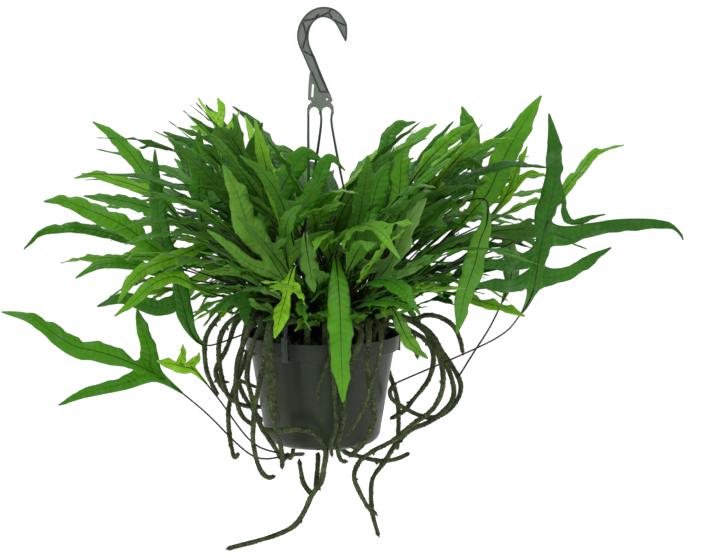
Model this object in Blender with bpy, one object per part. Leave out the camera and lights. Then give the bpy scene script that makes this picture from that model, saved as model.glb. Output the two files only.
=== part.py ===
"""Kangaroo paw fern in a hanging pot.

Metres, +Z up. The origin is the crown of the hook's inner arc, where the hanger rests on whatever
holds it. The fern's own pieces are set out on a front view: a drawing 701 squares wide and 558
squares high, seen from the eye point given below. seen() turns a square of that drawing and a
depth into a real place.
"""

import math
import random

import bmesh
import bpy
from mathutils import Matrix, Vector
from mathutils.bvhtree import BVHTree

MM = 0.001

# Pot: an 8 inch nursery pot, a thin wall with a wider band at the rim
RIM_Z = -0.409
RIM_RADIUS = 0.1015
BAND_HEIGHT = 0.020
BAND_TAPER = 0.0015
SHOULDER_RADIUS = 0.0935
FOOT_RADIUS = 0.0765
POT_HEIGHT = 0.144
FOOT_CORNER = 0.016
WALL = 0.0022
POT_SIDES = 26
DRAIN_RADIUS = 0.005
DRAIN_RING = 0.046
DRAIN_COUNT = 6
DRAIN_SIDES = 6

# Growing medium
SOIL_DROP = 0.022
SOIL_MOUND = 0.008
SOIL_GAP = 0.0004
HOLE_DEPTH = 0.022
HOLE_SIDES = 4

# Hanger: a flat moulded hook, a head and three strands that clip on the rim
HOOK_INNER_RADIUS = 0.0173
HOOK_OUTER_RADIUS = 0.0334
HOOK_THICKNESS = 0.0065
HEAD_TOP_Z = -0.1115
HEAD_BOTTOM_Z = -0.146
HEAD_HALF_WIDTH = 0.0165
STRAND_WIDTH = 0.0046
STRAND_THICKNESS = 0.0024
STRAND_ANGLES = (-27.0, 93.0, -147.0)
CLIP_WIDTH = 0.0085

# Rhizomes
RHIZOME_RADIUS = 0.0046
RHIZOME_SIDES = 5
RHIZOME_STEP = 0.031
ROOT_RING = 0.0775
CLEAR_OF_POT = 0.0075

# Fronds
BLADE_THICKNESS = 0.0008
STALK_STATIONS = (0.0, 0.55)
LOBE_STATIONS = (0.34, 0.68)
NOTCH_DEPTH = 0.52
STALK_WIDTH = 0.0023
CROWN_COUNT = 30
CROWN_DISC = 0.060
CROWN_RADIUS = 0.0043
CROWN_SIDES = 4
CROWN_RISE = 0.012
FRONDS_PER_CROWN = 3
LOW_CROWNS = (0.50, 0.84)
LOW_TRIES = 120
LOW_SEGMENTS = 4
AIR_GAP = 0.0008
DEPTH_REACH = 0.30
RULE_TRIES = 200
RULE_SEGMENTS = 4
RHIZOME_TRIES = (
    (0, 0), (3, 0), (0, 3), (0, -3), (6, 0), (3, 4), (3, -4), (9, 0), (0, 6), (0, -6), (9, 5), (9, -5),
    (13, 0), (13, 5), (13, -5), (18, 0), (18, 8), (18, -8), (24, 0), (24, 8), (24, -8),
)
ROOT_HOLE = 1.65

# Space between the strands that stays open, as the lowest and highest corners of two boxes
OPEN_SPACE = (
    (Vector((-0.0100, -0.0090, -0.2500)), Vector((0.0160, 0.0090, -0.2050))),
    (Vector((-0.0150, -0.0150, -0.3000)), Vector((0.0200, 0.0150, -0.2500))),
)
PARTING_TURNS = 24
PARTING_SLOPES = (-50, -25, 0, 25, 50)

# Front view: the eye point, how far it looks down, and the drawing's middle square
EYE = Vector((0.037, -2.59, 0.005))
EYE_TILT = math.radians(7.55)
VIEW_LENGTH = 2000.0
VIEW_MIDDLE = (350.5, 279.0)
SIGHT = Vector((0.0, math.cos(EYE_TILT), -math.sin(EYE_TILT)))
SIGHT_UP = Vector((0.0, math.sin(EYE_TILT), math.cos(EYE_TILT)))

# Outline of the foliage in the front view, as columns and rows, above and below
FOLIAGE_TOP = (
    (20, 240), (60, 190), (95, 126), (150, 132), (196, 100), (236, 106), (262, 122), (288, 148),
    (340, 160), (374, 152), (386, 128), (412, 124), (448, 108), (470, 108), (500, 128), (540, 96),
    (551, 114), (572, 165), (600, 168), (632, 205), (690, 240),
)
FOLIAGE_BOTTOM = (
    (20, 250), (70, 285), (110, 318), (190, 322), (235, 330), (262, 330), (300, 338), (395, 336),
    (420, 318), (470, 300), (520, 305), (560, 282), (620, 245), (690, 240),
)


def clear_scene():
    for obj in list(bpy.data.objects):
        bpy.data.objects.remove(obj, do_unlink=True)


# Front view

def seen(column, row, depth):
    """The place, this far behind the pot's axis, that shows in this square of the front view."""
    line = SIGHT * VIEW_LENGTH + SIGHT_UP * (VIEW_MIDDLE[1] - row)
    line.x = column - VIEW_MIDDLE[0]
    return EYE + line * ((depth - EYE.y) / line.y)


def seen_on(column, row, place, face):
    """The place on the plane through a place, square to a face, that shows in this square."""
    line = seen(column, row, 0.0) - EYE
    return EYE + line * ((place - EYE).dot(face) / line.dot(face))


def square_of(place):
    """The column and row of the front view where this place shows."""
    offset = place - EYE
    scale = VIEW_LENGTH / offset.dot(SIGHT)
    return VIEW_MIDDLE[0] + offset.x * scale, VIEW_MIDDLE[1] - offset.dot(SIGHT_UP) * scale


def outline_row(outline, column):
    """The row of an outline at this column."""
    for (c0, r0), (c1, r1) in zip(outline, outline[1:]):
        if c0 <= column <= c1:
            return r0 + (r1 - r0) * (column - c0) / (c1 - c0)
    return None


# Curves

class Course:
    """A smooth curve through a few points, read by the fraction of its length, with a face side."""

    STEPS = 7

    def __init__(self, points, face=None):
        self.points = self.smoothed(points)
        self.lengths = [0.0]
        for a, b in zip(self.points, self.points[1:]):
            self.lengths.append(self.lengths[-1] + (b - a).length)
        self.length = self.lengths[-1]
        if face is not None:
            self.faces = self.carried(face, 0.0)

    def smoothed(self, points):
        """Points of a Catmull-Rom curve through the given ones."""
        ends = [points[0] * 2 - points[1]] + list(points) + [points[-1] * 2 - points[-2]]
        curve = []
        for i in range(1, len(ends) - 2):
            a, b, c, d = ends[i - 1:i + 3]
            for k in range(self.STEPS):
                t = k / self.STEPS
                curve.append(
                    0.5 * (2 * b + (c - a) * t + (2 * a - 5 * b + 4 * c - d) * t * t
                           + (3 * b - a - 3 * c + d) * t ** 3)
                )
        curve.append(points[-1].copy())
        return curve

    def direction(self, index):
        before = self.points[max(index - 1, 0)]
        after = self.points[min(index + 1, len(self.points) - 1)]
        return (after - before).normalized()

    def carried(self, face, face_at):
        """The face side at each point, carried both ways from where it is given, without twisting."""
        count = len(self.points)
        start = min(range(count), key=lambda i: abs(self.lengths[i] - face_at * self.length))
        faces = [None] * count
        for order in (range(start, count), range(start, -1, -1)):
            current = face
            for i in order:
                along = self.direction(i)
                current = (current - along * current.dot(along)).normalized()
                faces[i] = current
        return faces

    def span(self, fraction):
        """The stretch of the curve that holds this fraction, and how far along it that is."""
        target = fraction * self.length
        for i in range(len(self.lengths) - 1):
            if target <= self.lengths[i + 1]:
                stretch = self.lengths[i + 1] - self.lengths[i]
                return i, (target - self.lengths[i]) / stretch
        return len(self.lengths) - 2, 1.0

    def point(self, fraction):
        i, t = self.span(fraction)
        return self.points[i].lerp(self.points[i + 1], t)

    def frame(self, fraction):
        """Place, direction, side to the right of the face, and face at this fraction."""
        i, t = self.span(fraction)
        along = self.direction(i).lerp(self.direction(i + 1), t).normalized()
        face = self.faces[i].lerp(self.faces[i + 1], t)
        side = along.cross(face).normalized()
        return self.points[i].lerp(self.points[i + 1], t), along, side, side.cross(along)


# Mesh helpers

def mesh_object(name, vertices, faces):
    mesh = bpy.data.meshes.new(name)
    mesh.from_pydata([tuple(v) for v in vertices], [], faces)
    mesh.update()
    obj = bpy.data.objects.new(name, mesh)
    bpy.context.scene.collection.objects.link(obj)
    return obj


def smooth(obj, angle=40.0):
    obj.data.shade_smooth()
    obj.data.set_sharp_from_angle(angle=math.radians(angle))


def finish_mesh(obj, bm):
    bmesh.ops.recalc_face_normals(bm, faces=bm.faces)
    bm.to_mesh(obj.data)
    bm.free()


def applied(obj):
    """The object's mesh with its modifiers, in place of both."""
    graph = bpy.context.evaluated_depsgraph_get()
    mesh = bpy.data.meshes.new_from_object(obj.evaluated_get(graph))
    obj.modifiers.clear()
    obj.data = mesh
    return obj


def combine(obj, others, operation, solver="MANIFOLD"):
    """One Boolean of the object with a collection, applied, and the collection's objects removed."""
    group = bpy.data.collections.new(obj.name + "_others")
    bpy.context.scene.collection.children.link(group)
    for other in others:
        bpy.context.scene.collection.objects.unlink(other)
        group.objects.link(other)
    step = obj.modifiers.new("Combine", "BOOLEAN")
    step.operation = operation
    step.operand_type = "COLLECTION"
    step.collection = group
    step.solver = solver
    applied(obj)
    for other in others:
        bpy.data.objects.remove(other, do_unlink=True)
    bpy.data.collections.remove(group)
    return obj


def turned(name, profile, sides):
    """A closed solid of revolution about Z from (radius, height) points, ends on the axis."""
    vertices = []
    rings = []
    for radius, height in profile:
        if radius == 0.0:
            rings.append([len(vertices)])
            vertices.append(Vector((0.0, 0.0, height)))
            continue
        rings.append(list(range(len(vertices), len(vertices) + sides)))
        for k in range(sides):
            angle = 2 * math.pi * k / sides
            vertices.append(Vector((radius * math.cos(angle), radius * math.sin(angle), height)))
    faces = []
    for lower, upper in zip(rings, rings[1:]):
        for k in range(sides):
            n = (k + 1) % sides
            if len(lower) == 1 and len(upper) == 1:
                continue
            if len(lower) == 1:
                faces.append((lower[0], upper[k], upper[n]))
            elif len(upper) == 1:
                faces.append((lower[k], lower[n], upper[0]))
            else:
                faces.append((lower[k], lower[n], upper[n], upper[k]))
    obj = mesh_object(name, vertices, faces)
    bm = bmesh.new()
    bm.from_mesh(obj.data)
    finish_mesh(obj, bm)
    return obj


def prism(name, outline, thickness, matrix):
    """A flat outline in X and Z, given this thickness about Y, then put in place."""
    half = thickness / 2
    vertices = [matrix @ Vector((x, -half, z)) for x, z in outline]
    vertices += [matrix @ Vector((x, half, z)) for x, z in outline]
    count = len(outline)
    faces = [tuple(range(count)), tuple(range(2 * count - 1, count - 1, -1))]
    for k in range(count):
        n = (k + 1) % count
        faces.append((k, k + count, n + count, n))
    obj = mesh_object(name, vertices, faces)
    bm = bmesh.new()
    bm.from_mesh(obj.data)
    finish_mesh(obj, bm)
    return obj


def arc(centre, radius, start, end, steps):
    """Points of an arc in X and Z, by angles in degrees from +X towards +Z."""
    points = []
    for k in range(steps + 1):
        angle = math.radians(start + (end - start) * k / steps)
        points.append((centre[0] + radius * math.cos(angle), centre[1] + radius * math.sin(angle)))
    return points


def rod(name, centres, radii, sides):
    return mesh_object(name, *rod_shape(centres, radii, sides))


def rod_shape(centres, radii, sides):
    """Vertices and faces of a closed round bar through these places, with a radius at each."""
    rings = []
    vertices = []
    across = None
    for i, centre in enumerate(centres):
        along = (centres[min(i + 1, len(centres) - 1)] - centres[max(i - 1, 0)]).normalized()
        if across is None:
            across = along.orthogonal().normalized()
        across = (across - along * across.dot(along)).normalized()
        other = along.cross(across)
        rings.append(list(range(len(vertices), len(vertices) + sides)))
        for k in range(sides):
            angle = 2 * math.pi * k / sides
            vertices.append(centre + (across * math.cos(angle) + other * math.sin(angle)) * radii[i])
    faces = [tuple(reversed(rings[0])), tuple(rings[-1])]
    for lower, upper in zip(rings, rings[1:]):
        for k in range(sides):
            n = (k + 1) % sides
            faces.append((lower[k], lower[n], upper[n], upper[k]))
    return vertices, faces


def clock_point(angle, radius, height):
    """A place by its angle round the pot in degrees, from the front towards the right."""
    turn = math.radians(angle)
    return Vector((radius * math.sin(turn), -radius * math.cos(turn), height))


# Pot, soil and hanger

def pot_radius(height):
    """Outer radius of the pot at this height."""
    below = RIM_Z - height
    if below < 0 or below > POT_HEIGHT:
        return 0.0
    if below < BAND_HEIGHT:
        return RIM_RADIUS
    share = (below - BAND_HEIGHT) / (POT_HEIGHT - BAND_HEIGHT)
    return SHOULDER_RADIUS + (FOOT_RADIUS - SHOULDER_RADIUS) * share


def make_pot():
    shoulder_z = RIM_Z - BAND_HEIGHT
    foot_z = RIM_Z - POT_HEIGHT
    corner = arc((FOOT_RADIUS - FOOT_CORNER, foot_z + FOOT_CORNER), FOOT_CORNER, 0, -90, 3)
    inner = FOOT_CORNER - WALL
    inner_corner = arc((FOOT_RADIUS - FOOT_CORNER, foot_z + FOOT_CORNER), inner, -90, 0, 2)
    profile = [
        (RIM_RADIUS - WALL, RIM_Z),
        (RIM_RADIUS, RIM_Z),
        (RIM_RADIUS - BAND_TAPER, shoulder_z),
        (SHOULDER_RADIUS, shoulder_z - 0.001),
        *corner,
        (0.0, foot_z),
    ]
    inside = [
        (0.0, foot_z + WALL),
        *inner_corner,
        (SHOULDER_RADIUS - WALL, shoulder_z + WALL),
        (RIM_RADIUS - BAND_TAPER - WALL, shoulder_z + WALL + 0.001),
    ]
    pot = turned("pot", profile + inside + [profile[0]], POT_SIDES)
    bm = bmesh.new()
    bm.from_mesh(pot.data)
    bmesh.ops.remove_doubles(bm, verts=bm.verts, dist=0.00001)
    finish_mesh(pot, bm)
    drains = []
    for k in range(DRAIN_COUNT):
        place = clock_point(360 * k / DRAIN_COUNT + 30, DRAIN_RING, foot_z)
        ends = [place - Vector((0, 0, 0.003)), place + Vector((0, 0, 0.006))]
        drains.append(rod("drain", ends, [DRAIN_RADIUS] * 2, DRAIN_SIDES))
    combine(pot, drains, "DIFFERENCE")
    smooth(pot, 35)
    return pot


def pot_inside(height):
    """Inner radius of the pot's tapered body at this height."""
    low = RIM_Z - POT_HEIGHT + FOOT_CORNER
    high = RIM_Z - BAND_HEIGHT + WALL
    return FOOT_RADIUS - WALL + (SHOULDER_RADIUS - FOOT_RADIUS) * (height - low) / (high - low)


def soil_height(radius):
    """Height of the soil's surface this far from the pot's axis."""
    share = min(radius / SHOULDER_RADIUS, 1.0)
    return RIM_Z - SOIL_DROP + SOIL_MOUND * (1 - share * share)


def make_soil():
    """The filling of the pot, before its holes."""
    foot_z = RIM_Z - POT_HEIGHT
    inner = FOOT_CORNER - WALL - SOIL_GAP
    corner = arc((FOOT_RADIUS - FOOT_CORNER, foot_z + FOOT_CORNER), inner, -90, 0, 2)
    top_radius = pot_inside(soil_height(SHOULDER_RADIUS)) - SOIL_GAP
    profile = [(0.0, foot_z + WALL + SOIL_GAP)]
    profile += corner
    profile += [(top_radius, soil_height(SHOULDER_RADIUS))]
    profile += [(0.045, soil_height(0.045)), (0.0, soil_height(0.0))]
    return turned("soil", profile, POT_SIDES)


def cut_holes(soil, stems):
    """A plain hole under each stem, given as its place and the hole's radius."""
    cutters = []
    for place, radius in stems:
        base = Vector((place.x, place.y, soil_height(place.to_2d().length) - HOLE_DEPTH))
        ends = [base, base + Vector((0, 0, HOLE_DEPTH + 0.01))]
        cutters.append(rod("hole", ends, [radius] * 2, HOLE_SIDES))
    combine(soil, cutters, "DIFFERENCE")
    smooth(soil, 30)


def hook_outline():
    """The flat hook with its shank, down to the neck."""
    inner_centre = (0.0, -HOOK_INNER_RADIUS)
    outer_centre = (-0.0018, -0.0182)
    points = arc(outer_centre, HOOK_OUTER_RADIUS, 14, 186, 14)
    points += [(-0.0325, -0.040), (-0.0270, -0.054), (-0.0175, -0.074), (-0.0110, -0.090)]
    points += [(-0.0110, -0.106), (0.0085, -0.106), (0.0060, -0.094), (-0.0035, -0.070)]
    points += [(-0.0145, -0.046), (-0.0185, -0.0330)]
    points += arc(inner_centre, HOOK_INNER_RADIUS, 192, 32, 11)
    points += [(0.0195, -0.018), (0.0235, -0.0300), (0.0275, -0.0312)]
    return points


def head_outline():
    """The head plate that the strands start from."""
    w = HEAD_HALF_WIDTH
    top = HEAD_TOP_Z
    return [
        (-w, top), (-w + 0.003, top + 0.004), (-0.010, top + 0.0075), (0.010, top + 0.0075),
        (w - 0.003, top + 0.004), (w, top), (w, top - 0.010), (-w, top - 0.010),
    ]


def strand(name, start, angle):
    """One flat strand from the head down to just above its clip."""
    top = RIM_RADIUS + 0.0016
    end = clock_point(angle, top, RIM_Z + 0.002)
    bow = clock_point(angle, top * 0.40, (HEAD_BOTTOM_Z + RIM_Z) * 0.5 + 0.010)
    low = clock_point(angle, top * 0.80, RIM_Z + 0.072)
    head = Vector((start, 0.0, HEAD_TOP_Z - 0.004))
    leg = Vector((start, 0.0, HEAD_BOTTOM_Z))
    course = Course([head, leg, bow, low, end])
    steps = 8
    half_width = STRAND_WIDTH / 2
    half_depth = STRAND_THICKNESS / 2
    outward = clock_point(angle, 1.0, 0.0)
    tangent = clock_point(angle + 90, 1.0, 0.0)
    vertices = []
    for k in range(steps + 1):
        share = k / steps
        place = course.point(share)
        turn = min(share * 2.2, 1.0)
        forward = Vector((0, -1, 0)) if outward.y < 0 else Vector((0, 1, 0))
        sideways = Vector((0, 0, 1)).cross(forward)
        wide = sideways.lerp(tangent, turn).normalized()
        thick = wide.cross(Vector((0, 0, 1))).normalized()
        for a, b in ((-1, -1), (1, -1), (1, 1), (-1, 1)):
            vertices.append(place + wide * (a * half_width) + thick * (b * half_depth))
    faces = [(3, 2, 1, 0), tuple(range(4 * steps, 4 * steps + 4))]
    for k in range(steps):
        for j in range(4):
            n = (j + 1) % 4
            faces.append((4 * k + j, 4 * k + n, 4 * k + 4 + n, 4 * k + 4 + j))
    obj = mesh_object(name, vertices, faces)
    bm = bmesh.new()
    bm.from_mesh(obj.data)
    finish_mesh(obj, bm)
    return obj


def clip(name, angle):
    """The strand's end: over the rim, down the band and a toe under the shoulder."""
    outer = RIM_RADIUS + 0.0005
    inner = RIM_RADIUS - BAND_TAPER - WALL - 0.0016
    shoulder_z = RIM_Z - BAND_HEIGHT
    profile = [
        (outer + 0.0024, RIM_Z + 0.008), (outer - 0.0006, RIM_Z + 0.008),
        (inner - 0.0022, RIM_Z + 0.0045), (inner - 0.0028, RIM_Z - 0.006),
        (inner - 0.0006, RIM_Z - 0.007), (inner, RIM_Z + 0.0005),
        (outer, RIM_Z + 0.0005), (outer, shoulder_z - 0.0017),
        (outer - 0.0060, shoulder_z - 0.0022), (outer - 0.0060, shoulder_z - 0.0042),
        (outer + 0.0022, shoulder_z - 0.0046),
    ]
    matrix = Matrix.Rotation(math.radians(angle - 90), 4, "Z")
    return prism(name, profile, CLIP_WIDTH, matrix)


def make_hanger():
    flat = Matrix.Identity(4)
    hook = prism("hanger", hook_outline(), HOOK_THICKNESS, flat)
    pieces = [prism("head", head_outline(), 0.0048, flat)]
    starts = (-0.0138, 0.0138, 0.0)
    for angle, start in zip(STRAND_ANGLES, starts):
        pieces.append(strand("strand", start, angle))
        pieces.append(clip("clip", angle))
    combine(hook, pieces, "UNION")
    smooth(hook, 30)
    return hook


# Rhizomes

class Rhizome:
    """A hanging stem: where it leaves the soil, its squares in the front view, and their depths."""

    def __init__(self, name, angle, squares, depths, behind=99, radius=1.0, arch=0.018, parent=None):
        self.name = name
        self.angle = angle
        self.squares = squares
        self.depths = [d * MM for d in depths]
        self.behind = behind
        self.radius = RHIZOME_RADIUS * radius
        self.arch = arch
        self.parent = parent


# Columns and rows of each stem from its first showing to its tip; depths in millimetres
RHIZOMES = (
    Rhizome("rhizome_01", -84, ((237, 302), (214, 323), (205, 342), (206, 367), (211, 382), (218, 396)),
            (-25, -30, -45)),
    Rhizome("rhizome_02", -73, ((237, 317), (225, 327), (219, 344), (220, 367), (226, 392), (236, 402),
                                (247, 406), (262, 407)), (-45, -40, -5, 30), behind=6),
    Rhizome("rhizome_03", -62, ((252, 322), (245, 340), (238, 359), (236, 382), (237, 402), (243, 417),
                                (253, 425)), (-75, -70, -60)),
    Rhizome("rhizome_03", 0, ((237, 377), (246, 383), (258, 388)), (-68, -72, -74), radius=0.72,
            parent="rhizome_03"),
    Rhizome("rhizome_04", -52, ((261, 326), (252, 347), (247, 375), (251, 394), (255, 411), (262, 428),
                                (270, 440), (278, 453), (280, 460)), (-96, -100, -88, -80)),
    Rhizome("rhizome_04", 0, ((263, 429), (279, 431), (296, 429), (311, 432), (322, 442), (326, 452),
                              (324, 467), (321, 482), (312, 495), (304, 512), (294, 526), (276, 535),
                              (253, 542), (226, 549)), (-90, -100, -94, -90, -85, -80, -80), radius=1.05,
            parent="rhizome_04"),
    Rhizome("rhizome_04", 0, ((312, 495), (304, 484), (301, 472), (299, 459)), (-82, -74, -66),
            radius=0.95, parent="rhizome_04"),
    Rhizome("rhizome_04", 0, ((315, 488), (317, 474), (318, 462), (318, 452)), (-82, -66, -50),
            radius=0.95, parent="rhizome_04"),
    Rhizome("rhizome_05", -43, ((268, 330), (265, 352), (260, 380), (255, 407), (253, 432), (254, 448),
                                (259, 467), (267, 477), (276, 476)), (-112, -118, -105, -100)),
    Rhizome("rhizome_06", -14, ((272, 330), (272, 359), (273, 382), (275, 405), (278, 423)),
            (-108, -106, -100), radius=1.15),
    Rhizome("rhizome_07", -35, ((270, 322), (268, 352), (269, 394), (272, 413), (278, 436), (282, 453),
                                (282, 469)), (-120, -124, -118, -104), radius=0.95),
    Rhizome("rhizome_07", 0, ((281, 455), (291, 455), (305, 454)), (-108, -100, -92), radius=0.8,
            parent="rhizome_07"),
    Rhizome("rhizome_08", 3, ((329, 334), (331, 358), (334, 382), (335, 405), (336, 428), (331, 444),
                              (332, 457)), (-108, -106, -96), radius=0.85),
    Rhizome("rhizome_08", 0, ((331, 356), (323, 375), (318, 390), (320, 403)), (-108, -108, -104),
            radius=0.75, parent="rhizome_08"),
    Rhizome("rhizome_09", 17, ((362, 332), (352, 361), (346, 384), (343, 419), (339, 438), (338, 451),
                               (341, 460), (348, 462)), (-104, -101, -94, -88)),
    Rhizome("rhizome_10", 36, ((369, 332), (367, 365), (371, 390), (374, 407), (373, 424), (366, 440),
                               (356, 451), (349, 457)), (-112, -116, -114, -108), radius=1.1),
    Rhizome("rhizome_11", 46, ((381, 332), (379, 358), (371, 384), (365, 405), (355, 424), (345, 437)),
            (-122, -126, -124, -118), radius=0.85),
    Rhizome("rhizome_12", 111, ((408, 329), (423, 338), (432, 350), (433, 365), (427, 382), (413, 400),
                                (404, 411), (390, 419)), (25, 35, 40, 42), behind=6),
    Rhizome("rhizome_13", 70, ((415, 323), (429, 336), (438, 354), (443, 375), (441, 394), (431, 411),
                               (413, 424), (394, 440), (373, 451), (360, 461), (354, 476), (359, 491),
                               (368, 507), (377, 515)), (-30, -55, -60, -62, -60, -55)),
    Rhizome("rhizome_14", 80, ((417, 323), (432, 342), (447, 367), (453, 384), (453, 398), (444, 411),
                               (429, 422), (411, 430), (396, 444), (385, 461), (373, 478), (371, 497),
                               (373, 516), (379, 537)), (-5, -28, -36, -38, -38, -40)),
    Rhizome("rhizome_15", 102, ((425, 328), (444, 354), (456, 373), (461, 387), (456, 402), (442, 415),
                                (425, 417), (406, 409), (393, 400), (390, 391), (396, 383)),
            (18, 5, -10, -16, -22, -38), radius=0.95),
    Rhizome("rhizome_16", 121, ((411, 319), (427, 315), (442, 318), (454, 327), (460, 340), (463, 354)),
            (50, 55, 60)),
    Rhizome("rhizome_17", 160, ((336, 330), (332, 380), (335, 430), (344, 451), (362, 457), (381, 461),
                                (396, 459), (410, 453)), (112, 108, 70, 20, 0), behind=0),
    Rhizome("rhizome_18", 56, ((412, 331), (414, 344), (418, 359)), (-62, -64, -66), radius=0.8),
)

# Hanging stems at the back: angle round the pot, how far it hangs, how far it swings out and sideways
BACK_RHIZOMES = (
    ("rhizome_19", 134, 0.105, 0.040, 0.030),
    ("rhizome_20", 148, 0.165, 0.026, -0.045),
    ("rhizome_21", 174, 0.190, 0.034, 0.050),
    ("rhizome_22", -172, 0.120, 0.046, -0.020),
    ("rhizome_23", -136, 0.170, 0.030, 0.060),
    ("rhizome_24", -118, 0.135, 0.048, -0.040),
    ("rhizome_25", -104, 0.085, 0.034, 0.016),
)


def spread(values, share):
    """The value at this share of a list, between its neighbours."""
    place = share * (len(values) - 1)
    low = min(int(place), len(values) - 2)
    return values[low] + (values[low + 1] - values[low]) * (place - low)


def off_pot(place, behind, clear):
    """The place moved straight back or forth until it is this clear of the pot's side."""
    keep = pot_radius(place.z) + clear
    if abs(place.x) >= keep or RIM_Z - POT_HEIGHT - 0.002 > place.z or place.z > RIM_Z + 0.004:
        return place
    edge = math.sqrt(keep * keep - place.x * place.x)
    depth = max(place.y, edge) if behind else min(place.y, -edge)
    return Vector((place.x, depth, place.z))


def rhizome_places(stem, push, turn):
    """The places that a stem passes, with its depth pushed and its root turned round the pot."""
    shown = []
    last = len(stem.squares) - 1
    for i, (column, row) in enumerate(stem.squares):
        depth = spread(stem.depths, i / last)
        behind = i >= stem.behind
        depth += push if behind or depth > 0 else -push
        place = seen(column, row, depth)
        cleared = off_pot(place, behind, CLEAR_OF_POT)
        shown.append(seen(column, row, cleared.y))
    if stem.parent:
        return shown
    angle = stem.angle + turn
    return soil_root(angle) + over_rim(angle, shown[0], stem.arch) + shown


def soil_root(angle):
    top = soil_height(ROOT_RING)
    return [clock_point(angle, ROOT_RING, top - HOLE_DEPTH + 0.0005),
            clock_point(angle, ROOT_RING, top + 0.004)]


def over_rim(angle, first, arch):
    """Where a stem crosses the rim on its way to its first showing."""
    lift = max(first.z - RIM_Z, 0.0) * 0.45
    if first.z > RIM_Z + 0.012:
        return [clock_point(angle, ROOT_RING + 0.012, RIM_Z + arch + lift)]
    return [clock_point(angle, ROOT_RING + 0.013, RIM_Z + arch)]


def back_places(angle, drop, swing, side, push, turn):
    """A stem that comes over the back of the rim, hangs and turns up a little at its tip."""
    angle += turn
    reach = RIM_RADIUS + CLEAR_OF_POT + push
    turn_per_metre = side / reach * 57.3
    return soil_root(angle) + [
        clock_point(angle, ROOT_RING + 0.012, RIM_Z + 0.020),
        clock_point(angle + turn_per_metre * 0.15, reach + 0.006, RIM_Z + 0.012),
        clock_point(angle + turn_per_metre * 0.4, reach + swing * 0.6, RIM_Z - drop * 0.30),
        clock_point(angle + turn_per_metre * 0.7, reach + swing, RIM_Z - drop * 0.66),
        clock_point(angle + turn_per_metre, reach + swing * 0.5, RIM_Z - drop),
        clock_point(angle + turn_per_metre * 1.25, reach + swing * 0.1, RIM_Z - drop * 0.97),
    ]


def rhizome_shape(course, radius, grow=0.0):
    """A stem along its course, a little narrower towards the tip, with a blunt round end."""
    count = max(3, round(course.length / RHIZOME_STEP))
    centres = []
    radii = []
    for k in range(count):
        share = k / count
        centres.append(course.point(share))
        radii.append(radius * (1.0 - 0.22 * share) + grow)
    tip = radius * 0.78
    centres += [course.point(1.0 - 0.5 * tip / course.length), course.point(1.0)]
    radii += [tip * 0.86 + grow, tip * 0.42 + grow]
    return rod_shape(centres, radii, RHIZOME_SIDES)


# Fronds

class Lobe:
    """A side lobe: +1 right or -1 left of the face, where on the blade it starts, and its course."""

    def __init__(self, hand, start, points, width):
        self.hand = hand
        self.start = start
        self.points = points
        self.width = width


class Frond:
    """One frond: the course of stalk and midrib, where the blade starts, and its lobes."""

    def __init__(self, places, base, face, width, wave, phase, segments):
        self.midrib = Course(places)
        self.blade_from = self.midrib.lengths[base * Course.STEPS] / self.midrib.length
        self.midrib.faces = self.midrib.carried(face, self.blade_from)
        self.width = width
        self.lobes = []
        self.wave = wave
        self.phase = phase
        self.segments = segments

    def fraction(self, share):
        """The fraction of the whole midrib at this share of the blade."""
        return self.blade_from + (1 - self.blade_from) * share

    def share_of(self, station):
        """The share of the blade at a station across it."""
        return 0.04 + 0.96 * station / self.segments

    def half_width(self, share, hand):
        grow = min(1.0, 0.42 + share / 0.30)
        narrow = 1.0 if share < 0.45 else 1.0 - ((share - 0.45) / 0.55) ** 2.1
        ripple = 1.0 + 0.10 * math.sin(share * 17.0 + self.phase + hand)
        notch = 1.0
        for lobe in self.lobes:
            if lobe.hand == hand:
                above = (share - self.share_of(root_station(self, lobe) + 1)) * self.segments
                notch -= NOTCH_DEPTH * math.exp(-2.2 * above * above)
        return self.width / 2 * grow * narrow * ripple * max(notch, 0.3)

    def edge(self, share, hand):
        """The place of the blade's edge on one hand, with its wave, and the face there."""
        centre, along, side, face = self.midrib.frame(self.fraction(share))
        half = self.half_width(share, hand)
        lift = self.wave * math.sin(share * 19.0 + self.phase + hand * 1.3)
        forward = half * 0.22
        return centre + side * (hand * half) + along * forward + face * (lift - half * 0.10), face


def lobe_course(frond, lobe):
    """The lobe's course from the middle of its root on the blade's edge."""
    station = root_station(frond, lobe)
    low, face = frond.edge(frond.share_of(station), lobe.hand)
    high, _ = frond.edge(frond.share_of(station + 1), lobe.hand)
    root = (low + high) / 2
    return Course([root] + lobe.points, face)


def root_station(frond, lobe):
    """The blade's stretch that the lobe grows from."""
    station = round((lobe.start - 0.04) / 0.96 * frond.segments)
    return max(0, min(station, frond.segments - 2))


def lobe_edge(lobe, course, share, hand, phase):
    centre, along, side, face = course.frame(share)
    narrow = 1.0 if share < 0.4 else 1.0 - ((share - 0.4) / 0.6) ** 1.8
    ripple = 1.0 + 0.10 * math.sin(share * 9.0 + phase + hand)
    half = lobe.width / 2 * narrow * ripple
    lift = 0.0013 * math.sin(share * 9.0 + phase - hand)
    return centre + side * (hand * half) + face * lift, face


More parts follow.
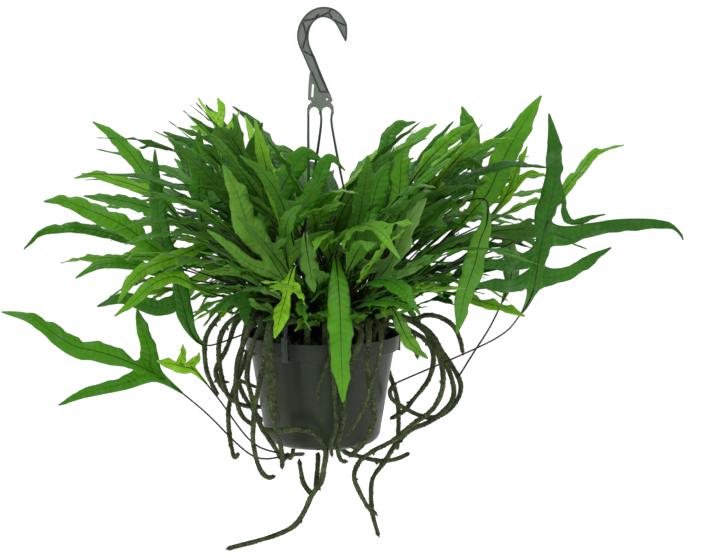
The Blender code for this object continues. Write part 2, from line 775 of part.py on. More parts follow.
class Sheet:
    """A thin sheet of triangles, later given its thickness."""

    def __init__(self):
        self.places = []
        self.faces = []
        self.halves = []
        self.triangles = []

    def add(self, place, face, half):
        self.places.append(place)
        self.faces.append(face)
        self.halves.append(half)
        return len(self.places) - 1

    def strip(self, lower, upper):
        (l0, r0), (l1, r1) = lower, upper
        self.triangles += [(l0, r0, r1), (l0, r1, l1)]

    def shape(self):
        """The sheet as a closed solid: both faces split alike, and a wall along the edge."""
        count = len(self.places)
        top = [p + f * h for p, f, h in zip(self.places, self.faces, self.halves)]
        bottom = [p - f * h for p, f, h in zip(self.places, self.faces, self.halves)]
        faces = list(self.triangles)
        faces += [(a + count, c + count, b + count) for a, b, c in self.triangles]
        edges = {(a, b) for t in self.triangles for a, b in zip(t, t[1:] + t[:1])}
        for a, b in sorted(edges):
            if (b, a) not in edges:
                faces += [(a, a + count, b + count), (a, b + count, b)]
        return top + bottom, faces


def frond_shape(frond, grow=0.0, stalk_from=0.0):
    """A frond's vertices and faces. grow widens and thickens it, to test what it comes near."""
    sheet = Sheet()
    half_blade = BLADE_THICKNESS / 2 + grow
    half_stalk = STALK_WIDTH / 2 + grow
    pairs = []
    for share in STALK_STATIONS:
        if share < stalk_from:
            continue
        centre, _, side, face = frond.midrib.frame(frond.blade_from * share)
        pairs.append(tuple(sheet.add(centre + side * (h * half_stalk), face, half_stalk) for h in (-1, 1)))
    first = len(pairs)
    for station in range(frond.segments):
        share = frond.share_of(station)
        side = frond.midrib.frame(frond.fraction(share))[2]
        thick = half_blade if station else (half_blade + half_stalk) / 2
        pair = []
        for hand in (-1, 1):
            place, face = frond.edge(share, hand)
            pair.append(sheet.add(place + side * (hand * grow), face, thick))
        pairs.append(tuple(pair))
    for lower, upper in zip(pairs, pairs[1:]):
        sheet.strip(lower, upper)
    add_tip(sheet, pairs[-1], frond.midrib, half_blade)
    for lobe in frond.lobes:
        low = first + root_station(frond, lobe)
        if lobe.hand > 0:
            root = (pairs[low + 1][1], pairs[low][1])
        else:
            root = (pairs[low][0], pairs[low + 1][0])
        add_lobe(sheet, root, frond, lobe, half_blade, grow)
    return sheet.shape()


def add_tip(sheet, pair, course, half):
    place, _, _, face = course.frame(1.0)
    tip = sheet.add(place, face, half)
    sheet.triangles.append((pair[0], pair[1], tip))


def add_lobe(sheet, root, frond, lobe, half, grow):
    course = lobe_course(frond, lobe)
    previous = root
    for share in LOBE_STATIONS:
        side = course.frame(share)[2]
        pair = []
        for hand in (-1, 1):
            place, face = lobe_edge(lobe, course, share, hand, frond.phase)
            pair.append(sheet.add(place + side * (hand * grow), face, half))
        sheet.strip(previous, tuple(pair))
        previous = tuple(pair)
    add_tip(sheet, previous, course, half)


# Fronds placed by hand in the front view

class Hero:
    """A frond that shows: depths of base and tip, width in squares, midrib and lobes in squares."""

    def __init__(self, name, depths, width, midrib, lobes=(), wave=1.6, stalk=(), on=None):
        self.name = name
        self.depths = [d * MM for d in depths]
        self.width = width
        self.midrib = midrib
        self.lobes = lobes
        self.wave = wave * MM
        self.stalk = stalk
        self.on = on
        self.phase = len(name) * 0.7 + len(midrib)


# Lobes are given as hand, start along the blade, width, how much nearer the tip is, and squares
HEROES = (
    Hero("far_left", (-85, -135), 19, ((165, 380), (147, 370), (124, 360), (99, 352), (74, 346), (50, 331),
                                       (30, 317), (2, 312)),
         ((1, 0.04, 17, 0, ((151, 354), (143, 332), (137, 308))),
          (-1, 0.04, 13, 6, ((141, 379), (106, 388), (80, 395), (57, 406)))),
         wave=2.6, stalk=((281, 464), (253, 456), (204, 411)), on="rhizome_07"),
    Hero("small_lime_left", (-96, -116), 13, ((195, 371), (184, 367), (172, 364), (158, 361)),
         ((1, 0.04, 9, 0, ((197, 359), (199, 353))), (1, 0.30, 9, 0, ((183, 354), (183, 345)))),
         wave=0.8, stalk=((281, 456), (253, 443), (218, 398)), on="rhizome_07"),
    Hero("left_dark", (-74, -36), 20, ((192, 335), (187, 320), (176, 281), (165, 251), (159, 220), (156, 189),
                                       (155, 150)),
         ((-1, 0.10, 17, 8, ((176, 309), (151, 307), (124, 298), (96, 307))),)),
    Hero("left_high", (-4, 62), 16, ((170, 208), (147, 176), (130, 153), (113, 136), (93, 122))),
    Hero("left_thin_high", (-42, -8), 11, ((176, 199), (148, 191), (133, 185), (115, 180), (92, 173),
                                            (75, 178))),
    Hero("left_long", (-92, -186), 19, ((168, 257), (145, 241), (122, 225), (99, 214), (73, 204), (54, 197),
                                        (44, 201)), wave=2.2),
    Hero("left_short", (-52, 24), 12, ((160, 212), (140, 205), (112, 199), (84, 196))),
    Hero("left_far_thin", (-30, -122), 11, ((160, 245), (125, 238), (95, 230), (69, 228), (41, 232), (24, 249))),
    Hero("left_sliver", (18, 92), 8, ((170, 265), (150, 257), (107, 258), (76, 259), (61, 263))),
    Hero("left_low_thin", (-66, -152), 11, ((172, 276), (145, 268), (122, 263), (95, 266), (76, 278))),
    Hero("left_light", (-112, -196), 14, ((203, 246), (191, 251), (168, 260), (145, 269), (127, 286),
                                          (118, 303)), wave=2.2),
    Hero("left_light_low", (-132, -226), 13, ((202, 290), (176, 277), (153, 284), (135, 300), (115, 316))),
    Hero("top_left_light", (48, 112), 12, ((222, 168), (218, 142), (216, 122), (198, 98)),
         ((1, 0.42, 9, 0, ((222, 112), (218, 98))), (-1, 0.30, 9, 0, ((206, 132), (190, 126))),
          (1, 0.16, 9, 0, ((230, 128), (240, 111))))),
    Hero("top_left_dark", (26, 84), 15, ((224, 184), (229, 158), (231, 128))),
    Hero("left_upright", (2, -34), 18, ((200, 210), (199, 182), (198, 155), (199, 130))),
    Hero("left_upright_back", (30, 98), 14, ((194, 196), (188, 170), (184, 154), (168, 133))),
    Hero("centre_upright", (-18, -62), 19, ((243, 210), (246, 186), (252, 154), (262, 123))),
    Hero("front_light", (-118, -194), 26, ((285, 281), (264, 248), (248, 225), (237, 194), (223, 165)),
         ((1, 0.06, 15, 4, ((300, 247), (318, 237), (345, 231))),
          (-1, 0.06, 12, 4, ((251, 265), (231, 248), (206, 229)))), wave=2.4),
    Hero("centre_left", (-76, -28), 24, ((259, 232), (269, 214), (283, 186), (299, 159), (311, 152),
                                         (324, 161))),
    Hero("centre_mid", (-99, -56), 18, ((279, 256), (289, 225), (312, 195), (325, 162), (336, 158),
                                        (345, 170))),
    Hero("centre_arch", (14, 62), 13, ((262, 192), (263, 165), (272, 150), (285, 148), (299, 158))),
    Hero("centre_broad", (-88, -30), 29, ((355, 249), (366, 225), (372, 205), (379, 179), (390, 162)),
         ((-1, 0.16, 14, 4, ((345, 214), (330, 203), (315, 197))),
          (1, 0.16, 11, -4, ((387, 234), (404, 219), (421, 200)))), wave=3.4),
    Hero("right_centre", (-54, 14), 19, ((392, 228), (399, 194), (401, 162), (404, 148), (412, 138))),
    Hero("front_grey", (-128, -208), 23, ((377, 280), (388, 267), (401, 241), (412, 218), (426, 198)),
         ((-1, 0.04, 14, 4, ((366, 267), (353, 254), (339, 250))),
          (1, 0.04, 8, 4, ((396, 276), (424, 266))))),
    Hero("front_lime", (-152, -190), 17, ((290, 277), (286, 296), (281, 315), (275, 337)),
         ((1, 0.10, 7, 2, ((275, 286), (268, 288))), (-1, 0.10, 7, 2, ((296, 286), (301, 292))))),
    Hero("front_tongue", (-138, -160), 23, ((337, 268), (338, 282), (340, 313), (341, 352), (343, 402)),
         wave=1.8),
    Hero("front_hanging", (-108, -128), 17, ((306, 243), (309, 262), (314, 291))),
    Hero("right_tall", (-84, -22), 25, ((471, 213), (488, 193), (498, 171), (512, 143), (527, 118), (541, 96)),
         wave=1.8),
    Hero("right_great", (-92, -128), 24, ((532, 295), (536, 276), (541, 246), (548, 213), (555, 180),
                                         (555, 147), (549, 114)),
         ((1, 0.04, 15, 4, ((560, 277), (585, 263), (612, 247))),
          (1, 0.22, 14, 8, ((572, 240), (606, 226), (648, 224), (676, 227), (684, 242))),
          (1, 0.46, 8, -4, ((568, 222), (586, 219), (606, 214))),
          (-1, 0.04, 14, 8, ((512, 287), (490, 284), (468, 287))),
          (-1, 0.20, 12, 0, ((515, 266), (490, 264), (467, 265)))),
         wave=2.4, stalk=((452, 364), (493, 340), (520, 315)), on="rhizome_15"),
    Hero("right_hidden", (-44, 12), 16, ((508, 288), (512, 268), (510, 248), (500, 226)),
         stalk=((456, 371), (474, 352), (491, 325)), on="rhizome_15"),
    Hero("right_tongue", (-116, -152), 20, ((487, 222), (480, 240), (475, 263), (465, 293), (457, 333))),
    Hero("right_thin_high", (-20, 62), 10, ((545, 216), (568, 185), (581, 170), (595, 153), (624, 145))),
    Hero("right_top", (14, 74), 19, ((476, 172), (471, 143), (467, 122), (462, 107))),
    Hero("right_top_light", (-8, 42), 14, ((424, 165), (440, 148), (455, 135), (473, 124))),
    Hero("back_right_top", (42, 112), 14, ((379, 172), (385, 150), (390, 134), (400, 125), (415, 122))),
    Hero("low_right", (-102, -138), 13, ((396, 314), (403, 330), (412, 345), (427, 358))),
    Hero("right_light", (-48, -92), 11, ((498, 208), (510, 188), (518, 168), (527, 147)),
         ((1, 0.30, 6, 0, ((530, 172), (545, 176))),)),
    Hero("right_sliver", (10, 62), 6, ((505, 214), (525, 204), (540, 200), (561, 193))),
    Hero("right_top_thin", (36, 112), 8, ((436, 184), (465, 165), (490, 145), (508, 128))),
    Hero("right_small_arch", (-34, -82), 9, ((440, 182), (452, 166), (470, 160), (488, 173))),
    Hero("right_low_pale", (-66, -118), 10, ((462, 296), (484, 303), (506, 308), (524, 316))),
)
NEAR_CROWNS = 12
HERO_STEP = 0.031
HERO_TURN = 0.45
HERO_UP = 0.60
FACE_UP = 0.25
HERO_SWINGS = (1.0, 0.5, 0.0)
HERO_PUSHES = (0, -5, 5, -10, 10, -15, 15, -21, 21, -28, 28, -36, 36)


def blended(a, b, c, d, t):
    """A cubic Bezier point."""
    s = 1 - t
    return a * s ** 3 + b * (3 * s * s * t) + c * (3 * s * t * t) + d * t ** 3


def stalk_places(root, base, heading):
    """The stalk from a crown up and over to the base of a blade that heads this way."""
    flat = Vector((base.x - root.x, base.y - root.y, 0.0))
    outward = flat.normalized() if flat.length > 0 else Vector((0, -1, 0))
    start = root + outward * 0.0012
    reach = (base - root).length
    up = root + Vector((0, 0, 0.38 * reach)) + outward * (0.16 * reach)
    back = base - heading * (0.34 * reach)
    return [start - Vector((0, 0, 0.005)), start + Vector((0, 0, 0.004)) + outward * 0.0012] + [
        blended(start, up, back, base, t) for t in (0.3, 0.55, 0.8)
    ]


def hero_frond(hero, push, root, swing):
    """A hand-placed frond whose stalk starts at this root. swing turns its face aside and upwards."""
    last = len(hero.midrib) - 1
    depths = [d + push for d in hero.depths]
    shown = [seen(c, r, spread(depths, i / last)) for i, (c, r) in enumerate(hero.midrib)]
    if hero.on:
        steps = len(hero.stalk)
        stalk = [root]
        for i, (c, r) in enumerate(hero.stalk[1:], start=1):
            stalk.append(seen(c, r, root.y + (shown[0].y - root.y) * i / steps))
    else:
        stalk = stalk_places(root, shown[0], (shown[1] - shown[0]).normalized())
    face = Vector((0.0, -1.0, FACE_UP + (HERO_UP - FACE_UP) * swing))
    face.rotate(Matrix.Rotation(HERO_TURN * math.sin(hero.phase) * swing, 3, "Z"))
    square = (shown[0] - EYE).length / VIEW_LENGTH
    length = sum((b - a).length for a, b in zip(shown, shown[1:]))
    segments = max(4, min(9, round(length / HERO_STEP)))
    frond = Frond(stalk + shown, len(stalk), face, hero.width * square, hero.wave, hero.phase, segments)
    side = frond.midrib.frame(frond.fraction(0.5))[2]
    frond.width /= max(0.7, side.cross(SIGHT).length)
    for hand, start, width, nearer, squares in hero.lobes:
        centre, _, _, flat = frond.midrib.frame(frond.fraction(start))
        points = []
        for i, (c, r) in enumerate(squares):
            place = seen_on(c, r, centre, flat)
            points.append(place.lerp(EYE, nearer * MM * (i + 1) / len(squares) / (place - EYE).length))
        frond.lobes.append(Lobe(hand, start, points, width * square))
    return frond


# Fronds placed by rule

class Crown:
    """A short piece of rhizome that stands in the soil and carries a few fronds."""

    def __init__(self, number):
        self.name = f"frond_clump_{number + 1:02d}"
        radius = CROWN_DISC * math.sqrt((number + 0.5) / CROWN_COUNT)
        self.angle = number * 137.508
        self.outward = radius / CROWN_DISC
        self.soil = clock_point(self.angle, radius, soil_height(radius))
        self.top = self.soil + Vector((0, 0, CROWN_RISE))
        self.fronds = 0


def crown_rod(crown):
    """A crown from the bottom of its hole to its rounded top."""
    centres = [crown.soil - Vector((0, 0, HOLE_DEPTH - 0.0005)), crown.top - Vector((0, 0, 0.003)), crown.top]
    radii = [CROWN_RADIUS, CROWN_RADIUS, CROWN_RADIUS * 0.6]
    return rod_shape(centres, radii, CROWN_SIDES)


def arched(start, azimuth, drift, rise, fall, length, steps):
    """Places along a frond that leaves its crown at one tilt and bends over to another."""
    places = [start - Vector((0, 0, 0.005)), start + Vector((0, 0, 0.003))]
    for k in range(steps):
        share = (k + 1) / steps
        tilt = rise + (fall - rise) * share ** 1.35
        heading = azimuth + drift * share * share
        ahead = Vector((math.sin(heading), -math.cos(heading), 0))
        places.append(places[-1] + (ahead * math.cos(tilt) + Vector((0, 0, math.sin(tilt)))) * (length / steps))
    return places


def rule_frond(number, attempt, crown):
    """A frond that rises from its crown, leans outwards and arches over under its weight."""
    draw = random.Random(number * 1009 + attempt)
    tier = draw.random()
    freedom = 40 + 140 * max((1 - crown.outward) ** 2, attempt / RULE_TRIES - 0.2)
    azimuth = math.radians(crown.angle + draw.uniform(-freedom, freedom))
    rise = math.radians(86 - 44 * tier * crown.outward)
    fall = math.radians(48 - 96 * tier + draw.uniform(-12, 12))
    length = draw.uniform(0.26, 0.39)
    drift = draw.uniform(-0.5, 0.5)
    stalk_share = draw.uniform(0.34, 0.48)
    frond = laid_frond(crown, azimuth, drift, rise, fall, length, stalk_share, 9, RULE_SEGMENTS,
                       draw.uniform(0.017, 0.027), draw)
    add_rule_lobes(frond, draw, (0, 0, 1, 2, 2, 3))
    return frond


def low_frond(number, attempt, crown):
    """A short frond that leans out over the rim, under the taller ones."""
    draw = random.Random(number * 1013 + attempt)
    freedom = 25 + 60 * attempt / LOW_TRIES
    azimuth = math.radians(crown.angle + draw.uniform(-freedom, freedom))
    rise = math.radians(draw.uniform(30, 64))
    fall = math.radians(draw.uniform(-75, 5))
    length = draw.uniform(0.11, 0.20)
    frond = laid_frond(crown, azimuth, draw.uniform(-0.7, 0.7), rise, fall, length, draw.uniform(0.25, 0.42), 7,
                       LOW_SEGMENTS, draw.uniform(0.014, 0.022), draw)
    add_rule_lobes(frond, draw, (0, 0, 0, 1, 2))
    return frond


def laid_frond(crown, azimuth, drift, rise, fall, length, stalk_share, steps, segments, width, draw):
    """A frond from a crown along an arch, its face up and turned a little aside."""
    ahead = Vector((math.sin(azimuth), -math.cos(azimuth), 0))
    places = arched(crown.top + ahead * 0.0012, azimuth, drift, rise, fall, length, steps)
    base = max(2, round(stalk_share * steps)) + 1
    along = (places[base + 1] - places[base - 1]).normalized()
    face = ahead.cross(Vector((0, 0, 1))).cross(along)
    face.rotate(Matrix.Rotation(draw.uniform(-0.6, 0.6), 3, along))
    return Frond(places, base, face, width, draw.uniform(0.8, 2.6) * MM, draw.uniform(0, 6.28), segments)


def add_rule_lobes(frond, draw, counts):
    """Side lobes on one or both hands, lower ones longer, each drooping a little."""
    stations = draw.sample([(hand, k) for k in (0, 1, 2) for hand in (-1, 1)], draw.choice(counts))
    for hand, station in sorted(stations):
        start = frond.share_of(station)
        centre, along, side, _ = frond.midrib.frame(frond.fraction(start + 0.08))
        angle = math.radians(draw.uniform(34, 56))
        lead = along * math.cos(angle) + side * (hand * math.sin(angle))
        reach = frond.width * draw.uniform(2.4, 4.2) * (1 - 0.16 * station)
        droop = Vector((0, 0, -draw.uniform(0.05, 0.30)))
        root = centre + side * (hand * frond.width * 0.5)
        points = [
            root + (lead * t + along * (0.20 * t * t) + droop * (t * t)) * reach for t in (0.40, 0.72, 1.0)
        ]
        frond.lobes.append(Lobe(hand, start, points, frond.width * draw.uniform(0.52, 0.72)))


def stays_in_outline(shape):
    """Whether a rule-placed frond keeps to the foliage's outline and off the pot's front."""
    for place in shape[0]:
        if place.z < RIM_Z + BAND_HEIGHT and place.to_2d().length < RIM_RADIUS:
            continue
        column, row = square_of(place)
        above = outline_row(FOLIAGE_TOP, column)
        below = outline_row(FOLIAGE_BOTTOM, column)
        if above is None or row < above - 1 or row > below + 2:
            return False
        if abs(place.y) > DEPTH_REACH:
            return False
    return True


# Placing, so that no piece meets a piece of another node

class Placed:
    """The pieces already placed, by node, to test a new one against."""

    def __init__(self):
        self.trees = []
        self.parts = {}
        self.places = {}

    def box(self, vertices):
        low = Vector([min(v[i] for v in vertices) for i in range(3)])
        high = Vector([max(v[i] for v in vertices) for i in range(3)])
        return low, high

    def add(self, node, shape, mate=None):
        tree = BVHTree.FromPolygons(shape[0], shape[1])
        mate_tree = BVHTree.FromPolygons(mate[0], mate[1]) if mate else None
        self.trees.append((node, tree, mate_tree, self.box(shape[0])))
        self.parts.setdefault(node, []).append(mesh_object(node, *shape))
        self.places.setdefault(node, []).extend(shape[0])

    def add_object(self, obj):
        vertices = [obj.matrix_world @ v.co for v in obj.data.vertices]
        faces = [tuple(p.vertices) for p in obj.data.polygons]
        self.trees.append((obj.name, BVHTree.FromPolygons(vertices, faces), None, self.box(vertices)))

    def drop(self, names):
        """Take out the nodes with these names."""
        for name in names:
            for part in self.parts.pop(name):
                bpy.data.objects.remove(part, do_unlink=True)

    def clear(self, node, fat, blade=None):
        """Whether a thickened shape meets nothing of another node, and its blade no mate's blade."""
        tree = BVHTree.FromPolygons(fat[0], fat[1])
        blade_tree = BVHTree.FromPolygons(blade[0], blade[1]) if blade else None
        low, high = self.box(fat[0])
        for other, other_tree, mate_tree, (other_low, other_high) in self.trees:
            if any(low[i] > other_high[i] or high[i] < other_low[i] for i in range(3)):
                continue
            if other != node and tree.overlap(other_tree):
                return False
            if other == node and blade_tree and mate_tree and blade_tree.overlap(mate_tree):
                return False
        return True


def box_corners(low, high):
    return [Vector((x, y, z)) for x in (low.x, high.x) for y in (low.y, high.y) for z in (low.z, high.z)]


def parted(places, corners):
    """Whether some plane has all the places on one side and all the corners on the other."""
    for turn in range(PARTING_TURNS):
        for slope in PARTING_SLOPES:
            level = math.cos(math.radians(slope))
            side = clock_point(360 * turn / PARTING_TURNS, level, math.sin(math.radians(slope)))
            if max(side.dot(p) for p in places) < min(side.dot(c) for c in corners):
                return True
    return False


def leaves_space_open(places):
    """Whether these places stay on one side of each box of the space between the strands."""
    return all(parted(places, box_corners(low, high)) for low, high in OPEN_SPACE)


def crosses_itself(shape):
    """Whether two faces of a shape that share no corner meet."""
    tree = BVHTree.FromPolygons(shape[0], shape[1])
    for a, b in tree.overlap(tree):
        if a < b and not set(shape[1][a]) & set(shape[1][b]):
            return True
    return False


def try_frond(placed, node, frond, in_outline=False):
    """Place the frond if it is clear, and say whether it was."""
    shape = frond_shape(frond)
    if in_outline and not stays_in_outline(shape):
        return False
    if not placed.clear(node, frond_shape(frond, AIR_GAP), frond_shape(frond, 0.0, 0.5)):
        return False
    if crosses_itself(shape) or not leaves_space_open(placed.places[node] + shape[0]):
        return False
    placed.add(node, shape, frond_shape(frond, 0.0, 0.5))
    return True


def place_rhizomes(placed):
    """Every hanging stem, moved in depth or round the pot where it would meet another."""
    courses = {}
    roots = []
    left_out = []
    for stem in RHIZOMES:
        for push, turn in RHIZOME_TRIES:
            if stem.parent and turn:
                continue
            places = rhizome_places(stem, push * MM, turn)
            if stem.parent:
                places[0] = nearest_place(courses[stem.parent], places[0])
            if keep_rhizome(placed, stem.name, places, stem.radius, courses, roots, not stem.parent):
                break
        else:
            left_out.append(stem.name)
    for name, angle, drop, swing, side in BACK_RHIZOMES:
        for push, turn in RHIZOME_TRIES:
            places = back_places(angle, drop, swing, side, push * MM, turn)
            if keep_rhizome(placed, name, places, RHIZOME_RADIUS, courses, roots, True):
                break
        else:
            left_out.append(name)
    return courses, roots, left_out


def keep_rhizome(placed, name, places, radius, courses, roots, rooted):
    course = Course(places)
    if not placed.clear(name, rhizome_shape(course, radius, AIR_GAP)):
        return False
    placed.add(name, rhizome_shape(course, radius))
    courses.setdefault(name, []).extend(course.points)
    if rooted:
        roots.append((places[0], radius * ROOT_HOLE))
    return True


def nearest_place(places, target):
    return min(places, key=lambda p: (p - target).length).copy()


def place_heroes(placed, crowns, courses):
    left_out = []
    for hero in HEROES:
        base = seen(*hero.midrib[0], hero.depths[0])
        if hero.on:
            column, row = hero.stalk[0]
            root = nearest_place(courses[hero.on], seen(column, row, hero.depths[0]))
            tries = [(None, push, swing) for swing in HERO_SWINGS for push in HERO_PUSHES]
        else:
            lean = Vector((base.x, base.y)) * 0.30
            lean = lean.normalized() * min(lean.length, 0.050)
            near = sorted(crowns, key=lambda c: (c.top.to_2d() - lean).length)[:NEAR_CROWNS]
            tries = [(crown, push, swing) for swing in HERO_SWINGS for push in HERO_PUSHES for crown in near]
        for crown, push, swing in tries:
            if crown and crown.fronds >= FRONDS_PER_CROWN:
                continue
            node = crown.name if crown else hero.on
            start = crown.top if crown else root
            if try_frond(placed, node, hero_frond(hero, push * MM, start, swing)):
                if crown:
                    crown.fronds += 1
                break
        else:
            left_out.append(hero.name)
    return left_out


def place_low_fronds(placed, crowns):
    """Short fronds on the outer crowns, under the others, wherever there is room."""
    count = 0
    number = 0
    for least in LOW_CROWNS:
        for crown in crowns:
            number += 1
            if crown.outward < least:
                continue
            tries = (low_frond(number, attempt, crown) for attempt in range(LOW_TRIES))
            if any(try_frond(placed, crown.name, frond, True) for frond in tries):
                count += 1
    return count


def place_rule_fronds(placed, crowns):
    """Fill each crown up to its number of fronds."""
    missing = 0
    number = 0
    for round_number in range(FRONDS_PER_CROWN):
        for crown in crowns:
            number += 1
            if crown.fronds > round_number:
                continue
            for attempt in range(RULE_TRIES):
                if try_frond(placed, crown.name, rule_frond(number, attempt, crown), True):
                    crown.fronds += 1
                    break
            else:
                missing += 1
    return missing


# Materials and the whole

def colour(obj, red, green, blue, roughness, metallic=0.0):
    material = bpy.data.materials.new(obj.name)
    material.use_nodes = True
    shader = material.node_tree.nodes["Principled BSDF"]
    shader.inputs["Base Color"].default_value = (red, green, blue, 1.0)
    shader.inputs["Roughness"].default_value = roughness
    shader.inputs["Metallic"].default_value = metallic
    obj.data.materials.clear()
    obj.data.materials.append(material)


def fuse_nodes(placed):
    """Each node's pieces made one solid."""
    for name, parts in placed.parts.items():
        first = parts[0]
        first.name = name
        if len(parts) > 1:
            combine(first, parts[1:], "UNION")
        smooth(first, 50)
        if name.startswith("rhizome"):
            colour(first, 0.10, 0.13, 0.05, 0.75)
        else:
            colour(first, 0.09, 0.27, 0.04, 0.42)


def main():
    clear_scene()
    crowns = [Crown(number) for number in range(CROWN_COUNT)]
    pot = make_pot()
    colour(pot, 0.040, 0.055, 0.045, 0.55)
    hanger = make_hanger()
    colour(hanger, 0.075, 0.115, 0.095, 0.35)
    placed = Placed()
    placed.add_object(pot)
    placed.add_object(hanger)
    for crown in crowns:
        placed.add(crown.name, crown_rod(crown))
    courses, roots, lost_stems = place_rhizomes(placed)
    soil = make_soil()
    placed.add_object(soil)
    lost_heroes = place_heroes(placed, crowns, courses)
    lost_rule = place_rule_fronds(placed, crowns)
    low = place_low_fronds(placed, crowns)
    placed.drop([crown.name for crown in crowns if not crown.fronds])
    hole = CROWN_RADIUS * ROOT_HOLE
    cut_holes(soil, roots + [(crown.soil, hole) for crown in crowns if crown.fronds])
    colour(soil, 0.030, 0.022, 0.015, 0.95)
    fuse_nodes(placed)
    total = sum(crown.fronds for crown in crowns)
    print("stems left out", lost_stems, "fronds left out", lost_heroes, lost_rule, "on crowns", total, "low", low)


if __name__ == "__main__":
    main()
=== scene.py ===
"""Kangaroo paw fern in a hanging pot: the finished look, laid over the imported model.

The plant's layout follows the same rule and the same lists as its solids. Every variant that the
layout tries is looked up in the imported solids, so each fine piece lies where its solid lies.
Metres, +Z up. The front view is a drawing 701 squares wide and 558 squares high.
"""

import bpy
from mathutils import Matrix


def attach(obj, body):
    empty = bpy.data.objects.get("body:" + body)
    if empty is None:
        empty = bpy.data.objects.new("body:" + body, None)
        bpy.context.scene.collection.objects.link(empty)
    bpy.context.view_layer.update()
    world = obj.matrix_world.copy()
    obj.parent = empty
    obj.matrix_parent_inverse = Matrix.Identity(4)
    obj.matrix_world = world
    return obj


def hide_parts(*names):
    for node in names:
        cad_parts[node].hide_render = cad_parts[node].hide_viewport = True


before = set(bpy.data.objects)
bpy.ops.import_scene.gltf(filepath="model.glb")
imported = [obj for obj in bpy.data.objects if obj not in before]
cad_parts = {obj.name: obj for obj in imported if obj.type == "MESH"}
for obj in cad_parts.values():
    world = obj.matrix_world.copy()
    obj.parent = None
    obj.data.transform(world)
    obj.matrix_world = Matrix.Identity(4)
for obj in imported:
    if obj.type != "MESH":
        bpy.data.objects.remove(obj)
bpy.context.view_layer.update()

import functools
import itertools
import random
from math import copysign, cos, exp, pi, radians, sin, sqrt
from typing import NamedTuple

import bmesh
import bpy
import numpy as np
from mathutils import Matrix, Vector
from mathutils.bvhtree import BVHTree
from mathutils.kdtree import KDTree

bl_info = {
    "name": "Hanging Fern",
    "version": (1, 0, 0),
    "blender": (4, 5, 0),
    "location": "3D View > Sidebar > Fern",
    "description": "Builds a lobed fern in a hanging pot around its packed model",
    "category": "Add Mesh",
}

MM = 0.001
DEGREES_PER_RADIAN = 57.3
MERGE = 0.005 * MM
UP = Vector((0, 0, 1))

# Pot: an 8 inch nursery pot, a thin wall with a wider band at the rim
RIM_Z = -0.409
RIM_RADIUS = 0.1015
BAND_HEIGHT = 0.020
BAND_TAPER = 0.0015
SHOULDER_RADIUS = 0.0935
FOOT_RADIUS = 0.0765
POT_HEIGHT = 0.144
FOOT_CORNER = 0.016
WALL = 0.0022
DRAIN_RADIUS = 0.005
DRAIN_RING = 0.046
DRAIN_COUNT = 6
# Growing medium: its edge below the rim, its rise to the middle, and how deep the stems stand in it
SOIL_DROP = 0.022
SOIL_MOUND = 0.008
SOIL_GAP = 0.0004
HOLE_DEPTH = 0.022
SOIL_RINGS = 24
SOIL_BUMPS = 0.0012
# Hanger: heights of the head that the strands leave, and angles of the strands from the front
HOOK_THICKNESS = 0.0065
HEAD_TOP_Z = -0.1115
HEAD_BOTTOM_Z = -0.146
STRAND_WIDTH = 0.0046
STRAND_THICKNESS = 0.0024
STRAND_ANGLES = (-27.0, 93.0, -147.0)
STRAND_SIDES = 10
STRAND_STEPS = 40
CLIP_WIDTH = 0.0085
# Rhizomes
RHIZOME_RADIUS = 0.0046
RHIZOME_SIDES = 5
RHIZOME_STEP = 0.031
RHIZOME_TAPER = 0.22
ROOT_RING = 0.0775
CLEAR_OF_POT = 0.0075
RIM_ARCH = 0.018
# Fronds
BLADE_THICKNESS = 0.0008
LOBE_FREE = 0.34
NOTCH_DEPTH = 0.52
STALK_WIDTH = 0.0023
CROWN_COUNT = 30
GOLDEN_ANGLE = 137.508
CROWN_DISC = 0.060
CROWN_RADIUS = 0.0043
CROWN_RISE = 0.012
FRONDS_PER_CROWN = 3
LOW_CROWNS = (0.50, 0.84)
LOW_TRIES = 120
LOW_SEGMENTS = 4
DEPTH_REACH = 0.30
RULE_TRIES = 200
RULE_SEGMENTS = 4
RHIZOME_TRIES = (
    (0, 0), (3, 0), (0, 3), (0, -3), (6, 0), (3, 4), (3, -4), (9, 0), (0, 6), (0, -6), (9, 5), (9, -5),
    (13, 0), (13, 5), (13, -5), (18, 0), (18, 8), (18, -8), (24, 0), (24, 8), (24, -8),
)
# Front view: the eye point, how far it looks down, and the drawing's middle square
EYE = Vector((0.037, -2.59, 0.005))
EYE_TILT = radians(7.55)
VIEW_LENGTH = 2000.0
VIEW_MIDDLE = (350.5, 279.0)
SIGHT = Vector((0.0, cos(EYE_TILT), -sin(EYE_TILT)))
SIGHT_UP = Vector((0.0, sin(EYE_TILT), cos(EYE_TILT)))
# Outline of the foliage in the front view, as columns and rows, above and below
FOLIAGE_TOP = (
    (20, 240), (60, 190), (95, 126), (150, 132), (196, 100), (236, 106), (262, 122), (288, 148),
    (340, 160), (374, 152), (386, 128), (412, 124), (448, 108), (470, 108), (500, 128), (540, 96),
    (551, 114), (572, 165), (600, 168), (632, 205), (690, 240),
)
FOLIAGE_BOTTOM = (
    (20, 250), (70, 285), (110, 318), (190, 322), (235, 330), (262, 330), (300, 338), (395, 336),
    (420, 318), (470, 300), (520, 305), (560, 282), (620, 245), (690, 240),
)


def seen(column, row, depth):
    """The place, this far behind the pot's axis, that shows in this square of the front view."""
    line = SIGHT * VIEW_LENGTH + SIGHT_UP * (VIEW_MIDDLE[1] - row)
    line.x = column - VIEW_MIDDLE[0]
    return EYE + line * ((depth - EYE.y) / line.y)


def seen_on(column, row, place, face):
    """The place on the plane through a place, square to a face, that shows in this square."""
    line = seen(column, row, 0.0) - EYE
    return EYE + line * ((place - EYE).dot(face) / line.dot(face))


